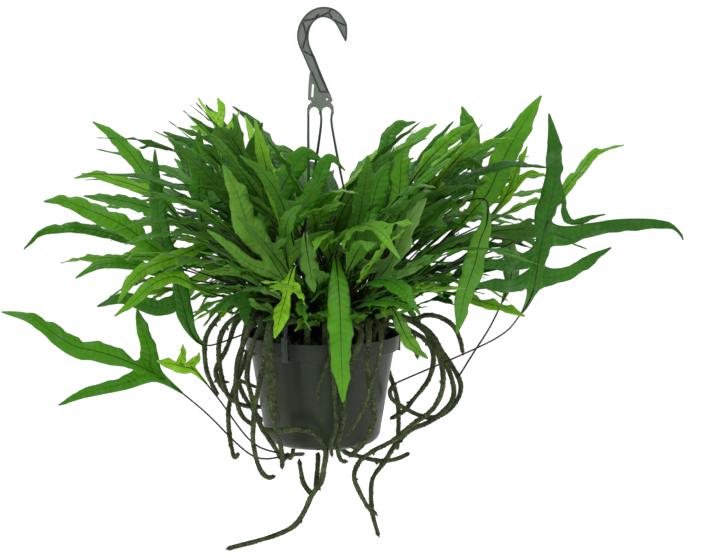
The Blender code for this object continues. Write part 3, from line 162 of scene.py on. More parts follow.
def square_of(place):
    """The column and row of the front view where this place shows."""
    offset = place - EYE
    scale = VIEW_LENGTH / offset.dot(SIGHT)
    return VIEW_MIDDLE[0] + offset.x * scale, VIEW_MIDDLE[1] - offset.dot(SIGHT_UP) * scale


def outline_row(outline, column):
    """The row of an outline at this column."""
    for (c0, r0), (c1, r1) in zip(outline, outline[1:]):
        if c0 <= column <= c1:
            return r0 + (r1 - r0) * (column - c0) / (c1 - c0)
    return None


class Course:
    """A smooth curve through a few points, read by the fraction of its length, with a face side."""

    STEPS = 7

    def __init__(self, points, face=None):
        self.points = self.smoothed(points)
        self.lengths = [0.0]
        for a, b in zip(self.points, self.points[1:]):
            self.lengths.append(self.lengths[-1] + (b - a).length)
        self.length = self.lengths[-1]
        if face is not None:
            self.faces = self.carried(face, 0.0)

    def smoothed(self, points):
        """Points of a Catmull-Rom curve through the given ones."""
        ends = [points[0] * 2 - points[1]] + list(points) + [points[-1] * 2 - points[-2]]
        curve = []
        for i in range(1, len(ends) - 2):
            a, b, c, d = ends[i - 1:i + 3]
            for k in range(self.STEPS):
                t = k / self.STEPS
                curve.append(
                    0.5 * (2 * b + (c - a) * t + (2 * a - 5 * b + 4 * c - d) * t * t
                           + (3 * b - a - 3 * c + d) * t ** 3)
                )
        curve.append(points[-1].copy())
        return curve

    def direction(self, index):
        before = self.points[max(index - 1, 0)]
        after = self.points[min(index + 1, len(self.points) - 1)]
        return (after - before).normalized()

    def carried(self, face, face_at):
        """The face side at each point, carried both ways from where it is given, without twisting."""
        count = len(self.points)
        start = min(range(count), key=lambda i: abs(self.lengths[i] - face_at * self.length))
        faces = [None] * count
        for order in (range(start, count), range(start, -1, -1)):
            current = face
            for i in order:
                along = self.direction(i)
                current = (current - along * current.dot(along)).normalized()
                faces[i] = current
        return faces

    def span(self, fraction):
        """The stretch of the curve that holds this fraction, and how far along it that is."""
        target = fraction * self.length
        for i in range(len(self.lengths) - 1):
            if target <= self.lengths[i + 1]:
                stretch = self.lengths[i + 1] - self.lengths[i]
                return i, (target - self.lengths[i]) / stretch
        return len(self.lengths) - 2, 1.0

    def point(self, fraction):
        i, t = self.span(fraction)
        return self.points[i].lerp(self.points[i + 1], t)

    def frame(self, fraction):
        """Place, direction, side to the right of the face, and face at this fraction."""
        i, t = self.span(fraction)
        along = self.direction(i).lerp(self.direction(i + 1), t).normalized()
        face = self.faces[i].lerp(self.faces[i + 1], t)
        side = along.cross(face).normalized()
        return self.points[i].lerp(self.points[i + 1], t), along, side, side.cross(along)


def linked(name, data):
    """A new object in the scene."""
    obj = bpy.data.objects.new(name, data)
    bpy.context.scene.collection.objects.link(obj)
    return obj


def mesh_object(name, vertices, faces, edges=(), **values):
    """A new mesh object, with the named values at its vertices."""
    mesh = bpy.data.meshes.new(name)
    mesh.from_pydata([tuple(v) for v in vertices], edges, faces)
    for key, row in values.items():
        layer = mesh.attributes.new(key, "FLOAT", "POINT")
        layer.data.foreach_set("value", np.asarray(row, dtype=np.float32))
    return linked(name, mesh)


def closed(obj, bm=None, merge=0.0):
    """Give the object this closed mesh, or its own again, with every face turned outwards."""
    if bm is None:
        bm = bmesh.new()
        bm.from_mesh(obj.data)
    if merge:
        bmesh.ops.remove_doubles(bm, verts=bm.verts, dist=merge)
    bmesh.ops.recalc_face_normals(bm, faces=bm.faces)
    bm.to_mesh(obj.data)
    bm.free()
    return obj


def turned(name, profile, sides):
    """A closed wall turned about Z from (radius, height) points that form a ring or end on the axis."""
    vertices = []
    rings = []
    for radius, height in profile:
        count = sides if radius else 1
        rings.append(range(len(vertices), len(vertices) + count))
        for k in range(count):
            angle = 2 * pi * k / sides
            vertices.append((radius * cos(angle), radius * sin(angle), height))
    faces = []
    for lower, upper in zip(rings, rings[1:]):
        if len(lower) == len(upper) == 1:
            continue
        for k in range(sides):
            n = (k + 1) % sides
            if len(lower) == 1:
                faces.append((lower[0], upper[k], upper[n]))
            elif len(upper) == 1:
                faces.append((lower[k], lower[n], upper[0]))
            else:
                faces.append((lower[k], lower[n], upper[n], upper[k]))
    return closed(mesh_object(name, vertices, faces), merge=MERGE)


def arc(centre, radius, start, end, steps):
    """Points of an arc in X and Z, by angles in degrees from +X towards +Z."""
    points = []
    for k in range(steps + 1):
        angle = radians(start + (end - start) * k / steps)
        points.append((centre[0] + radius * cos(angle), centre[1] + radius * sin(angle)))
    return points


def skin(rings, caps=2):
    """Vertices and faces through rings of places, closed at the first end or at both."""
    sides = len(rings[0])
    vertices = [place for ring in rings for place in ring]
    faces = [tuple(range(sides))[::-1], tuple(range(len(vertices) - sides, len(vertices)))][:caps]
    for low in range(0, len(vertices) - sides, sides):
        for k in range(sides):
            n = (k + 1) % sides
            faces.append((low + k, low + n, low + sides + n, low + sides + k))
    return vertices, faces


def rod_shape(centres, radii, sides):
    """Vertices and faces of a closed round bar through these places, with a radius at each."""
    rings = []
    across = None
    for i, (centre, radius) in enumerate(zip(centres, radii)):
        along = (centres[min(i + 1, len(centres) - 1)] - centres[max(i - 1, 0)]).normalized()
        if across is None:
            across = along.orthogonal().normalized()
        across = (across - along * across.dot(along)).normalized()
        other = along.cross(across)
        angles = [2 * pi * k / sides for k in range(sides)]
        rings.append([centre + (across * cos(a) + other * sin(a)) * radius for a in angles])
    return skin(rings)


def clock_point(angle, radius, height):
    """A place by its angle round the pot in degrees, from the front towards the right."""
    turn = radians(angle)
    return Vector((radius * sin(turn), -radius * cos(turn), height))


def pot_radius(height):
    """Outer radius of the pot at this height."""
    below = RIM_Z - height
    if below < 0 or below > POT_HEIGHT:
        return 0.0
    if below < BAND_HEIGHT:
        return RIM_RADIUS
    share = (below - BAND_HEIGHT) / (POT_HEIGHT - BAND_HEIGHT)
    return SHOULDER_RADIUS + (FOOT_RADIUS - SHOULDER_RADIUS) * share


def pot_inside(height):
    """Inner radius of the pot's tapered body at this height."""
    low = RIM_Z - POT_HEIGHT + FOOT_CORNER
    high = RIM_Z - BAND_HEIGHT + WALL
    return FOOT_RADIUS - WALL + (SHOULDER_RADIUS - FOOT_RADIUS) * (height - low) / (high - low)


def soil_height(radius):
    """Height of the soil's surface this far from the pot's axis."""
    share = min(radius / SHOULDER_RADIUS, 1.0)
    return RIM_Z - SOIL_DROP + SOIL_MOUND * (1 - share * share)


class Rhizome:
    """A hanging stem: the angle where it leaves the soil, its squares in the front view, their depths.

    One without an angle is a branch of the stem before it.
    """

    def __init__(self, name, angle, squares, depths, behind=99, radius=1.0):
        self.name = name
        self.angle = angle
        self.squares = squares
        self.depths = [d * MM for d in depths]
        self.behind = behind
        self.radius = RHIZOME_RADIUS * radius


# Columns and rows of each stem from its first showing to its tip; depths in millimetres
RHIZOMES = (
    Rhizome("rhizome_01", -84, ((237, 302), (214, 323), (205, 342), (206, 367), (211, 382), (218, 396)),
        (-25, -30, -45)),
    Rhizome("rhizome_02", -73, ((237, 317), (225, 327), (219, 344), (220, 367), (226, 392), (236, 402),
        (247, 406), (262, 407)), (-45, -40, -5, 30), behind=6),
    Rhizome("rhizome_03", -62, ((252, 322), (245, 340), (238, 359), (236, 382), (237, 402), (243, 417),
        (253, 425)), (-75, -70, -60)),
    Rhizome("rhizome_03", None, ((237, 377), (246, 383), (258, 388)), (-68, -72, -74), radius=0.72),
    Rhizome("rhizome_04", -52, ((261, 326), (252, 347), (247, 375), (251, 394), (255, 411), (262, 428),
        (270, 440), (278, 453), (280, 460)), (-96, -100, -88, -80)),
    Rhizome("rhizome_04", None, ((263, 429), (279, 431), (296, 429), (311, 432), (322, 442), (326, 452),
        (324, 467), (321, 482), (312, 495), (304, 512), (294, 526), (276, 535), (253, 542), (226, 549)),
        (-90, -100, -94, -90, -85, -80, -80), radius=1.05),
    Rhizome("rhizome_04", None, ((312, 495), (304, 484), (301, 472), (299, 459)), (-82, -74, -66),
        radius=0.95),
    Rhizome("rhizome_04", None, ((315, 488), (317, 474), (318, 462), (318, 452)), (-82, -66, -50),
        radius=0.95),
    Rhizome("rhizome_05", -43, ((268, 330), (265, 352), (260, 380), (255, 407), (253, 432), (254, 448),
        (259, 467), (267, 477), (276, 476)), (-112, -118, -105, -100)),
    Rhizome("rhizome_06", -14, ((272, 330), (272, 359), (273, 382), (275, 405), (278, 423)),
        (-108, -106, -100), radius=1.15),
    Rhizome("rhizome_07", -35, ((270, 322), (268, 352), (269, 394), (272, 413), (278, 436), (282, 453),
        (282, 469)), (-120, -124, -118, -104), radius=0.95),
    Rhizome("rhizome_07", None, ((281, 455), (291, 455), (305, 454)), (-108, -100, -92), radius=0.8),
    Rhizome("rhizome_08", 3, ((329, 334), (331, 358), (334, 382), (335, 405), (336, 428), (331, 444),
        (332, 457)), (-108, -106, -96), radius=0.85),
    Rhizome("rhizome_08", None, ((331, 356), (323, 375), (318, 390), (320, 403)), (-108, -108, -104),
        radius=0.75),
    Rhizome("rhizome_09", 17, ((362, 332), (352, 361), (346, 384), (343, 419), (339, 438), (338, 451),
        (341, 460), (348, 462)), (-104, -101, -94, -88)),
    Rhizome("rhizome_10", 36, ((369, 332), (367, 365), (371, 390), (374, 407), (373, 424), (366, 440),
        (356, 451), (349, 457)), (-112, -116, -114, -108), radius=1.1),
    Rhizome("rhizome_11", 46, ((381, 332), (379, 358), (371, 384), (365, 405), (355, 424), (345, 437)),
        (-122, -126, -124, -118), radius=0.85),
    Rhizome("rhizome_12", 111, ((408, 329), (423, 338), (432, 350), (433, 365), (427, 382), (413, 400),
        (404, 411), (390, 419)), (25, 35, 40, 42), behind=6),
    Rhizome("rhizome_13", 70, ((415, 323), (429, 336), (438, 354), (443, 375), (441, 394), (431, 411),
        (413, 424), (394, 440), (373, 451), (360, 461), (354, 476), (359, 491), (368, 507), (377, 515)),
        (-30, -55, -60, -62, -60, -55)),
    Rhizome("rhizome_14", 80, ((417, 323), (432, 342), (447, 367), (453, 384), (453, 398), (444, 411),
        (429, 422), (411, 430), (396, 444), (385, 461), (373, 478), (371, 497), (373, 516), (379, 537)),
        (-5, -28, -36, -38, -38, -40)),
    Rhizome("rhizome_15", 102, ((425, 328), (444, 354), (456, 373), (461, 387), (456, 402), (442, 415),
        (425, 417), (406, 409), (393, 400), (390, 391), (396, 383)), (18, 5, -10, -16, -22, -38),
        radius=0.95),
    Rhizome("rhizome_16", 121, ((411, 319), (427, 315), (442, 318), (454, 327), (460, 340), (463, 354)),
        (50, 55, 60)),
    Rhizome("rhizome_17", 160, ((336, 330), (332, 380), (335, 430), (344, 451), (362, 457), (381, 461),
        (396, 459), (410, 453)), (112, 108, 70, 20, 0), behind=0),
    Rhizome("rhizome_18", 56, ((412, 331), (414, 344), (418, 359)), (-62, -64, -66), radius=0.8),
)

# Hanging stems at the back: angle round the pot, how far it hangs, how far it swings out and sideways
BACK_RHIZOMES = (
    ("rhizome_19", 134, 0.105, 0.040, 0.030),
    ("rhizome_20", 148, 0.165, 0.026, -0.045),
    ("rhizome_21", 174, 0.190, 0.034, 0.050),
    ("rhizome_22", -172, 0.120, 0.046, -0.020),
    ("rhizome_23", -136, 0.170, 0.030, 0.060),
    ("rhizome_24", -118, 0.135, 0.048, -0.040),
    ("rhizome_25", -104, 0.085, 0.034, 0.016),
)


def spread(values, share):
    """The value at this share of a list, between its neighbours."""
    place = share * (len(values) - 1)
    low = min(int(place), len(values) - 2)
    return values[low] + (values[low + 1] - values[low]) * (place - low)


def off_pot(place, behind, clear):
    """The place moved straight back or forth until it is this clear of the pot's side."""
    keep = pot_radius(place.z) + clear
    if abs(place.x) >= keep or RIM_Z - POT_HEIGHT - 0.002 > place.z or place.z > RIM_Z + 0.004:
        return place
    edge = sqrt(keep * keep - place.x * place.x)
    depth = max(place.y, edge) if behind else min(place.y, -edge)
    return Vector((place.x, depth, place.z))


def rhizome_places(stem, push, turn):
    """The places that a stem passes, with its depth pushed and its root turned round the pot."""
    shown = []
    last = len(stem.squares) - 1
    for i, (column, row) in enumerate(stem.squares):
        depth = spread(stem.depths, i / last)
        behind = i >= stem.behind
        depth += push if behind or depth > 0 else -push
        place = seen(column, row, depth)
        cleared = off_pot(place, behind, CLEAR_OF_POT)
        shown.append(seen(column, row, cleared.y))
    if stem.angle is None:
        return shown
    angle = stem.angle + turn
    return soil_root(angle) + over_rim(angle, shown[0]) + shown


def soil_root(angle):
    """Where a stem starts in the soil and comes out of it."""
    top = soil_height(ROOT_RING)
    return [clock_point(angle, ROOT_RING, top - HOLE_DEPTH + 0.0005),
            clock_point(angle, ROOT_RING, top + 0.004)]


def over_rim(angle, first):
    """Where a stem crosses the rim on its way to its first showing."""
    above = first.z - RIM_Z
    if above > 0.012:
        return [clock_point(angle, ROOT_RING + 0.012, RIM_Z + RIM_ARCH + above * 0.45)]
    return [clock_point(angle, ROOT_RING + 0.013, RIM_Z + RIM_ARCH)]


def back_places(angle, drop, swing, side, push, turn):
    """A stem that comes over the back of the rim, hangs and turns up a little at its tip."""
    angle += turn
    reach = RIM_RADIUS + CLEAR_OF_POT + push
    sideways = side / reach * DEGREES_PER_RADIAN
    return soil_root(angle) + [
        clock_point(angle, ROOT_RING + 0.012, RIM_Z + 0.020),
        clock_point(angle + sideways * 0.15, reach + 0.006, RIM_Z + 0.012),
        clock_point(angle + sideways * 0.4, reach + swing * 0.6, RIM_Z - drop * 0.30),
        clock_point(angle + sideways * 0.7, reach + swing, RIM_Z - drop * 0.66),
        clock_point(angle + sideways, reach + swing * 0.5, RIM_Z - drop),
        clock_point(angle + sideways * 1.25, reach + swing * 0.1, RIM_Z - drop * 0.97),
    ]


def rhizome_marks(course, radius):
    """The last corners of the solid of a stem, which gets narrower and ends blunt and round."""
    count = max(3, round(course.length / RHIZOME_STEP))
    shares = [k / count for k in range(count)]
    tip = radius * (1.0 - RHIZOME_TAPER)
    centres = [course.point(share) for share in shares]
    centres += [course.point(1.0 - 0.5 * tip / course.length), course.point(1.0)]
    radii = [radius * (1.0 - RHIZOME_TAPER * share) for share in shares] + [tip * 0.86, tip * 0.42]
    return rod_shape(centres, radii, RHIZOME_SIDES)[0][-END_CORNERS:]


class Lobe(NamedTuple):
    """A side lobe: +1 right or -1 left of the face, where on the blade it starts, and its course."""

    hand: int
    start: float
    points: list
    width: float


class Frond:
    """One frond: the course of stalk and midrib, where the blade starts, and its lobes."""

    def __init__(self, places, base, face, width, wave, phase, segments):
        self.midrib = Course(places)
        self.blade_from = self.midrib.lengths[base * Course.STEPS] / self.midrib.length
        self.midrib.faces = self.midrib.carried(face, self.blade_from)
        self.width = width
        self.lobes = []
        self.wave = wave
        self.phase = phase
        self.segments = segments

    def fraction(self, share):
        """The fraction of the whole midrib at this share of the blade."""
        return self.blade_from + (1 - self.blade_from) * share

    def share_of(self, station):
        """The share of the blade at a station across it."""
        return 0.04 + 0.96 * station / self.segments

    def half_width(self, share, hand):
        grow = min(1.0, 0.42 + share / 0.30)
        narrow = 1.0 if share < 0.45 else 1.0 - ((share - 0.45) / 0.55) ** 2.1
        ripple = 1.0 + 0.10 * sin(share * 17.0 + self.phase + hand)
        notch = 1.0
        for lobe in self.lobes:
            if lobe.hand == hand:
                above = (share - self.share_of(root_station(self, lobe) + 1)) * self.segments
                notch -= NOTCH_DEPTH * exp(-2.2 * above * above)
        return self.width / 2 * grow * narrow * ripple * max(notch, 0.3)

    def edge(self, share, hand):
        """The place of the blade's edge on one hand, with its wave, and the face there."""
        centre, along, side, face = self.midrib.frame(self.fraction(share))
        half = self.half_width(share, hand)
        lift = self.wave * sin(share * 19.0 + self.phase + hand * 1.3)
        forward = half * 0.22
        return centre + side * (hand * half) + along * forward + face * (lift - half * 0.10), face


def lobe_course(frond, lobe):
    """The lobe's course from the middle of its root on the blade's edge."""
    station = root_station(frond, lobe)
    low, face = frond.edge(frond.share_of(station), lobe.hand)
    high, _ = frond.edge(frond.share_of(station + 1), lobe.hand)
    root = (low + high) / 2
    return Course([root] + lobe.points, face)


def root_station(frond, lobe):
    """The blade's stretch that the lobe grows from."""
    station = round((lobe.start - 0.04) / 0.96 * frond.segments)
    return max(0, min(station, frond.segments - 2))


def lobe_edge(lobe, course, share, hand, phase):
    """The place of the lobe's edge on one hand, with its wave."""
    centre, along, side, face = course.frame(share)
    narrow = 1.0 if share < 0.4 else 1.0 - ((share - 0.4) / 0.6) ** 1.8
    ripple = 1.0 + 0.10 * sin(share * 9.0 + phase + hand)
    lift = 0.0013 * sin(share * 9.0 + phase - hand)
    return centre + side * (hand * lobe.width / 2 * narrow * ripple) + face * lift


class Hero:
    """A frond that shows: depths of base and tip, width in squares, midrib and lobes in squares."""

    def __init__(self, name, depths, width, midrib, lobes=(), wave=1.6, stalk=(), on=None):
        self.name = name
        self.depths = [d * MM for d in depths]
        self.width = width
        self.midrib = midrib
        self.lobes = lobes
        self.wave = wave * MM
        self.stalk = stalk
        self.on = on
        self.phase = len(name) * 0.7 + len(midrib)


# Lobes are given as hand, start along the blade, width, how much nearer the tip is, and squares
HEROES = (
    Hero("far_left", (-85, -135), 19, ((165, 380), (147, 370), (124, 360), (99, 352), (74, 346),
        (50, 331), (30, 317), (2, 312)),
        ((1, 0.04, 17, 0, ((151, 354), (143, 332), (137, 308))),
         (-1, 0.04, 13, 6, ((141, 379), (106, 388), (80, 395), (57, 406)))),
        wave=2.6, stalk=((281, 464), (253, 456), (204, 411)), on="rhizome_07"),
    Hero("small_lime_left", (-96, -116), 13, ((195, 371), (184, 367), (172, 364), (158, 361)),
        ((1, 0.04, 9, 0, ((197, 359), (199, 353))),
         (1, 0.3, 9, 0, ((183, 354), (183, 345)))),
        wave=0.8, stalk=((281, 456), (253, 443), (218, 398)), on="rhizome_07"),
    Hero("left_dark", (-74, -36), 20, ((192, 335), (187, 320), (176, 281), (165, 251), (159, 220),
        (156, 189), (155, 150)),
        ((-1, 0.1, 17, 8, ((176, 309), (151, 307), (124, 298), (96, 307))),)),
    Hero("left_high", (-4, 62), 16, ((170, 208), (147, 176), (130, 153), (113, 136), (93, 122))),
    Hero("left_thin_high", (-42, -8), 11, ((176, 199), (148, 191), (133, 185), (115, 180), (92, 173),
        (75, 178))),
    Hero("left_long", (-92, -186), 19, ((168, 257), (145, 241), (122, 225), (99, 214), (73, 204),
        (54, 197), (44, 201)), wave=2.2),
    Hero("left_short", (-52, 24), 12, ((160, 212), (140, 205), (112, 199), (84, 196))),
    Hero("left_far_thin", (-30, -122), 11, ((160, 245), (125, 238), (95, 230), (69, 228), (41, 232),
        (24, 249))),
    Hero("left_sliver", (18, 92), 8, ((170, 265), (150, 257), (107, 258), (76, 259), (61, 263))),
    Hero("left_low_thin", (-66, -152), 11, ((172, 276), (145, 268), (122, 263), (95, 266), (76, 278))),
    Hero("left_light", (-112, -196), 14, ((203, 246), (191, 251), (168, 260), (145, 269), (127, 286),
        (118, 303)), wave=2.2),
    Hero("left_light_low", (-132, -226), 13, ((202, 290), (176, 277), (153, 284), (135, 300),
        (115, 316))),
    Hero("top_left_light", (48, 112), 12, ((222, 168), (218, 142), (216, 122), (198, 98)),
        ((1, 0.42, 9, 0, ((222, 112), (218, 98))),
         (-1, 0.3, 9, 0, ((206, 132), (190, 126))),
         (1, 0.16, 9, 0, ((230, 128), (240, 111))))),
    Hero("top_left_dark", (26, 84), 15, ((224, 184), (229, 158), (231, 128))),
    Hero("left_upright", (2, -34), 18, ((200, 210), (199, 182), (198, 155), (199, 130))),
    Hero("left_upright_back", (30, 98), 14, ((194, 196), (188, 170), (184, 154), (168, 133))),
    Hero("centre_upright", (-18, -62), 19, ((243, 210), (246, 186), (252, 154), (262, 123))),
    Hero("front_light", (-118, -194), 26, ((285, 281), (264, 248), (248, 225), (237, 194), (223, 165)),
        ((1, 0.06, 15, 4, ((300, 247), (318, 237), (345, 231))),
         (-1, 0.06, 12, 4, ((251, 265), (231, 248), (206, 229)))),
        wave=2.4),
    Hero("centre_left", (-76, -28), 24, ((259, 232), (269, 214), (283, 186), (299, 159), (311, 152),
        (324, 161))),
    Hero("centre_mid", (-99, -56), 18, ((279, 256), (289, 225), (312, 195), (325, 162), (336, 158),
        (345, 170))),
    Hero("centre_arch", (14, 62), 13, ((262, 192), (263, 165), (272, 150), (285, 148), (299, 158))),
    Hero("centre_broad", (-88, -30), 29, ((355, 249), (366, 225), (372, 205), (379, 179), (390, 162)),
        ((-1, 0.16, 14, 4, ((345, 214), (330, 203), (315, 197))),
         (1, 0.16, 11, -4, ((387, 234), (404, 219), (421, 200)))),
        wave=3.4),
    Hero("right_centre", (-54, 14), 19, ((392, 228), (399, 194), (401, 162), (404, 148), (412, 138))),
    Hero("front_grey", (-128, -208), 23, ((377, 280), (388, 267), (401, 241), (412, 218), (426, 198)),
        ((-1, 0.04, 14, 4, ((366, 267), (353, 254), (339, 250))),
         (1, 0.04, 8, 4, ((396, 276), (424, 266))))),
    Hero("front_lime", (-152, -190), 17, ((290, 277), (286, 296), (281, 315), (275, 337)),
        ((1, 0.1, 7, 2, ((275, 286), (268, 288))),
         (-1, 0.1, 7, 2, ((296, 286), (301, 292))))),
    Hero("front_tongue", (-138, -160), 23, ((337, 268), (338, 282), (340, 313), (341, 352), (343, 402)),
        wave=1.8),
    Hero("front_hanging", (-108, -128), 17, ((306, 243), (309, 262), (314, 291))),
    Hero("right_tall", (-84, -22), 25, ((471, 213), (488, 193), (498, 171), (512, 143), (527, 118),
        (541, 96)), wave=1.8),
    Hero("right_great", (-92, -128), 24, ((532, 295), (536, 276), (541, 246), (548, 213), (555, 180),
        (555, 147), (549, 114)),
        ((1, 0.04, 15, 4, ((560, 277), (585, 263), (612, 247))),
         (1, 0.22, 14, 8, ((572, 240), (606, 226), (648, 224), (676, 227), (684, 242))),
         (1, 0.46, 8, -4, ((568, 222), (586, 219), (606, 214))),
         (-1, 0.04, 14, 8, ((512, 287), (490, 284), (468, 287))),
         (-1, 0.2, 12, 0, ((515, 266), (490, 264), (467, 265)))),
        wave=2.4, stalk=((452, 364), (493, 340), (520, 315)), on="rhizome_15"),
    Hero("right_hidden", (-44, 12), 16, ((508, 288), (512, 268), (510, 248), (500, 226)),
        stalk=((456, 371), (474, 352), (491, 325)), on="rhizome_15"),
    Hero("right_tongue", (-116, -152), 20, ((487, 222), (480, 240), (475, 263), (465, 293), (457, 333))),
    Hero("right_thin_high", (-20, 62), 10, ((545, 216), (568, 185), (581, 170), (595, 153), (624, 145))),
    Hero("right_top", (14, 74), 19, ((476, 172), (471, 143), (467, 122), (462, 107))),
    Hero("right_top_light", (-8, 42), 14, ((424, 165), (440, 148), (455, 135), (473, 124))),
    Hero("back_right_top", (42, 112), 14, ((379, 172), (385, 150), (390, 134), (400, 125), (415, 122))),
    Hero("low_right", (-102, -138), 13, ((396, 314), (403, 330), (412, 345), (427, 358))),
    Hero("right_light", (-48, -92), 11, ((498, 208), (510, 188), (518, 168), (527, 147)),
        ((1, 0.3, 6, 0, ((530, 172), (545, 176))),)),
    Hero("right_sliver", (10, 62), 6, ((505, 214), (525, 204), (540, 200), (561, 193))),
    Hero("right_top_thin", (36, 112), 8, ((436, 184), (465, 165), (490, 145), (508, 128))),
    Hero("right_small_arch", (-34, -82), 9, ((440, 182), (452, 166), (470, 160), (488, 173))),
    Hero("right_low_pale", (-66, -118), 10, ((462, 296), (484, 303), (506, 308), (524, 316))),
)
NEAR_CROWNS = 12
HERO_STEP = 0.031
HERO_TURN = 0.45
HERO_UP = 0.60
FACE_UP = 0.25
HERO_SWINGS = (1.0, 0.5, 0.0)
HERO_PUSHES = (0, -5, 5, -10, 10, -15, 15, -21, 21, -28, 28, -36, 36)


def blended(a, b, c, d, t):
    """A cubic Bezier point."""
    s = 1 - t
    return a * s ** 3 + b * (3 * s * s * t) + c * (3 * s * t * t) + d * t ** 3


def stalk_places(root, base, heading):
    """The stalk from a crown up and over to the base of a blade that heads this way."""
    flat = Vector((base.x - root.x, base.y - root.y, 0.0))
    outward = flat.normalized() if flat.length > 0 else Vector((0, -1, 0))
    start = root + outward * 0.0012
    reach = (base - root).length
    rising = root + UP * (0.38 * reach) + outward * (0.16 * reach)
    back = base - heading * (0.34 * reach)
    return [start - UP * 0.005, start + UP * 0.004 + outward * 0.0012] + [
        blended(start, rising, back, base, t) for t in (0.3, 0.55, 0.8)
    ]


def hero_frond(hero, push, root, swing):
    """A listed frond whose stalk starts at this root. swing turns its face aside and upwards."""
    last = len(hero.midrib) - 1
    depths = [d + push for d in hero.depths]
    shown = [seen(c, r, spread(depths, i / last)) for i, (c, r) in enumerate(hero.midrib)]
    if hero.on:
        steps = len(hero.stalk)
        stalk = [root]
        for i, (c, r) in enumerate(hero.stalk[1:], start=1):
            stalk.append(seen(c, r, root.y + (shown[0].y - root.y) * i / steps))
    else:
        stalk = stalk_places(root, shown[0], (shown[1] - shown[0]).normalized())
    face = Vector((0.0, -1.0, FACE_UP + (HERO_UP - FACE_UP) * swing))
    face.rotate(Matrix.Rotation(HERO_TURN * sin(hero.phase) * swing, 3, "Z"))
    square = (shown[0] - EYE).length / VIEW_LENGTH
    length = sum((b - a).length for a, b in zip(shown, shown[1:]))
    segments = max(4, min(9, round(length / HERO_STEP)))
    frond = Frond(stalk + shown, len(stalk), face, hero.width * square, hero.wave, hero.phase, segments)
    side = frond.midrib.frame(frond.fraction(0.5))[2]
    frond.width /= max(0.7, side.cross(SIGHT).length)
    for hand, start, width, nearer, squares in hero.lobes:
        centre, _, _, flat = frond.midrib.frame(frond.fraction(start))
        points = []
        for i, (c, r) in enumerate(squares):
            place = seen_on(c, r, centre, flat)
            points.append(place.lerp(EYE, nearer * MM * (i + 1) / len(squares) / (place - EYE).length))
        frond.lobes.append(Lobe(hand, start, points, width * square))
    return frond


class Crown:
    """A short piece of rhizome that stands in the soil and carries a few fronds."""

    def __init__(self, number):
        self.name = f"frond_clump_{number + 1:02d}"
        radius = CROWN_DISC * sqrt((number + 0.5) / CROWN_COUNT)
        self.angle = number * GOLDEN_ANGLE
        self.outward = radius / CROWN_DISC
        self.soil = clock_point(self.angle, radius, soil_height(radius))
        self.top = self.soil + UP * CROWN_RISE
        self.fronds = 0


def arched(start, azimuth, drift, rise, fall, length, steps):
    """Places along a frond that leaves its crown at one tilt and bends over to another."""
    places = [start - UP * 0.005, start + UP * 0.003]
    for k in range(steps):
        share = (k + 1) / steps
        tilt = rise + (fall - rise) * share ** 1.35
        heading = azimuth + drift * share * share
        ahead = Vector((sin(heading), -cos(heading), 0))
        places.append(places[-1] + (ahead * cos(tilt) + UP * sin(tilt)) * (length / steps))
    return places


def rule_frond(number, attempt, crown):
    """A frond that rises from its crown, leans outwards and arches over under its weight."""
    draw = random.Random(number * 1009 + attempt)
    tier = draw.random()
    freedom = 40 + 140 * max((1 - crown.outward) ** 2, attempt / RULE_TRIES - 0.2)
    azimuth = radians(crown.angle + draw.uniform(-freedom, freedom))
    rise = radians(86 - 44 * tier * crown.outward)
    fall = radians(48 - 96 * tier + draw.uniform(-12, 12))
    length = draw.uniform(0.26, 0.39)
    drift = draw.uniform(-0.5, 0.5)
    stalk_share = draw.uniform(0.34, 0.48)
    frond = laid_frond(crown, azimuth, drift, rise, fall, length, stalk_share, 9, RULE_SEGMENTS,
                       draw.uniform(0.017, 0.027), draw)
    add_rule_lobes(frond, draw, (0, 0, 1, 2, 2, 3))
    return frond


def low_frond(number, attempt, crown):
    """A short frond that leans out over the rim, under the taller ones."""
    draw = random.Random(number * 1013 + attempt)
    freedom = 25 + 60 * attempt / LOW_TRIES
    azimuth = radians(crown.angle + draw.uniform(-freedom, freedom))
    rise = radians(draw.uniform(30, 64))
    fall = radians(draw.uniform(-75, 5))
    length = draw.uniform(0.11, 0.20)
    frond = laid_frond(crown, azimuth, draw.uniform(-0.7, 0.7), rise, fall, length,
                       draw.uniform(0.25, 0.42), 7, LOW_SEGMENTS, draw.uniform(0.014, 0.022), draw)
    add_rule_lobes(frond, draw, (0, 0, 0, 1, 2))
    return frond


def laid_frond(crown, azimuth, drift, rise, fall, length, stalk_share, steps, segments, width, draw):
    """A frond from a crown along an arch, its face up and turned a little aside."""
    ahead = Vector((sin(azimuth), -cos(azimuth), 0))
    places = arched(crown.top + ahead * 0.0012, azimuth, drift, rise, fall, length, steps)
    base = max(2, round(stalk_share * steps)) + 1
    along = (places[base + 1] - places[base - 1]).normalized()
    face = ahead.cross(UP).cross(along)
    face.rotate(Matrix.Rotation(draw.uniform(-0.6, 0.6), 3, along))
    return Frond(places, base, face, width, draw.uniform(0.8, 2.6) * MM, draw.uniform(0, 6.28), segments)


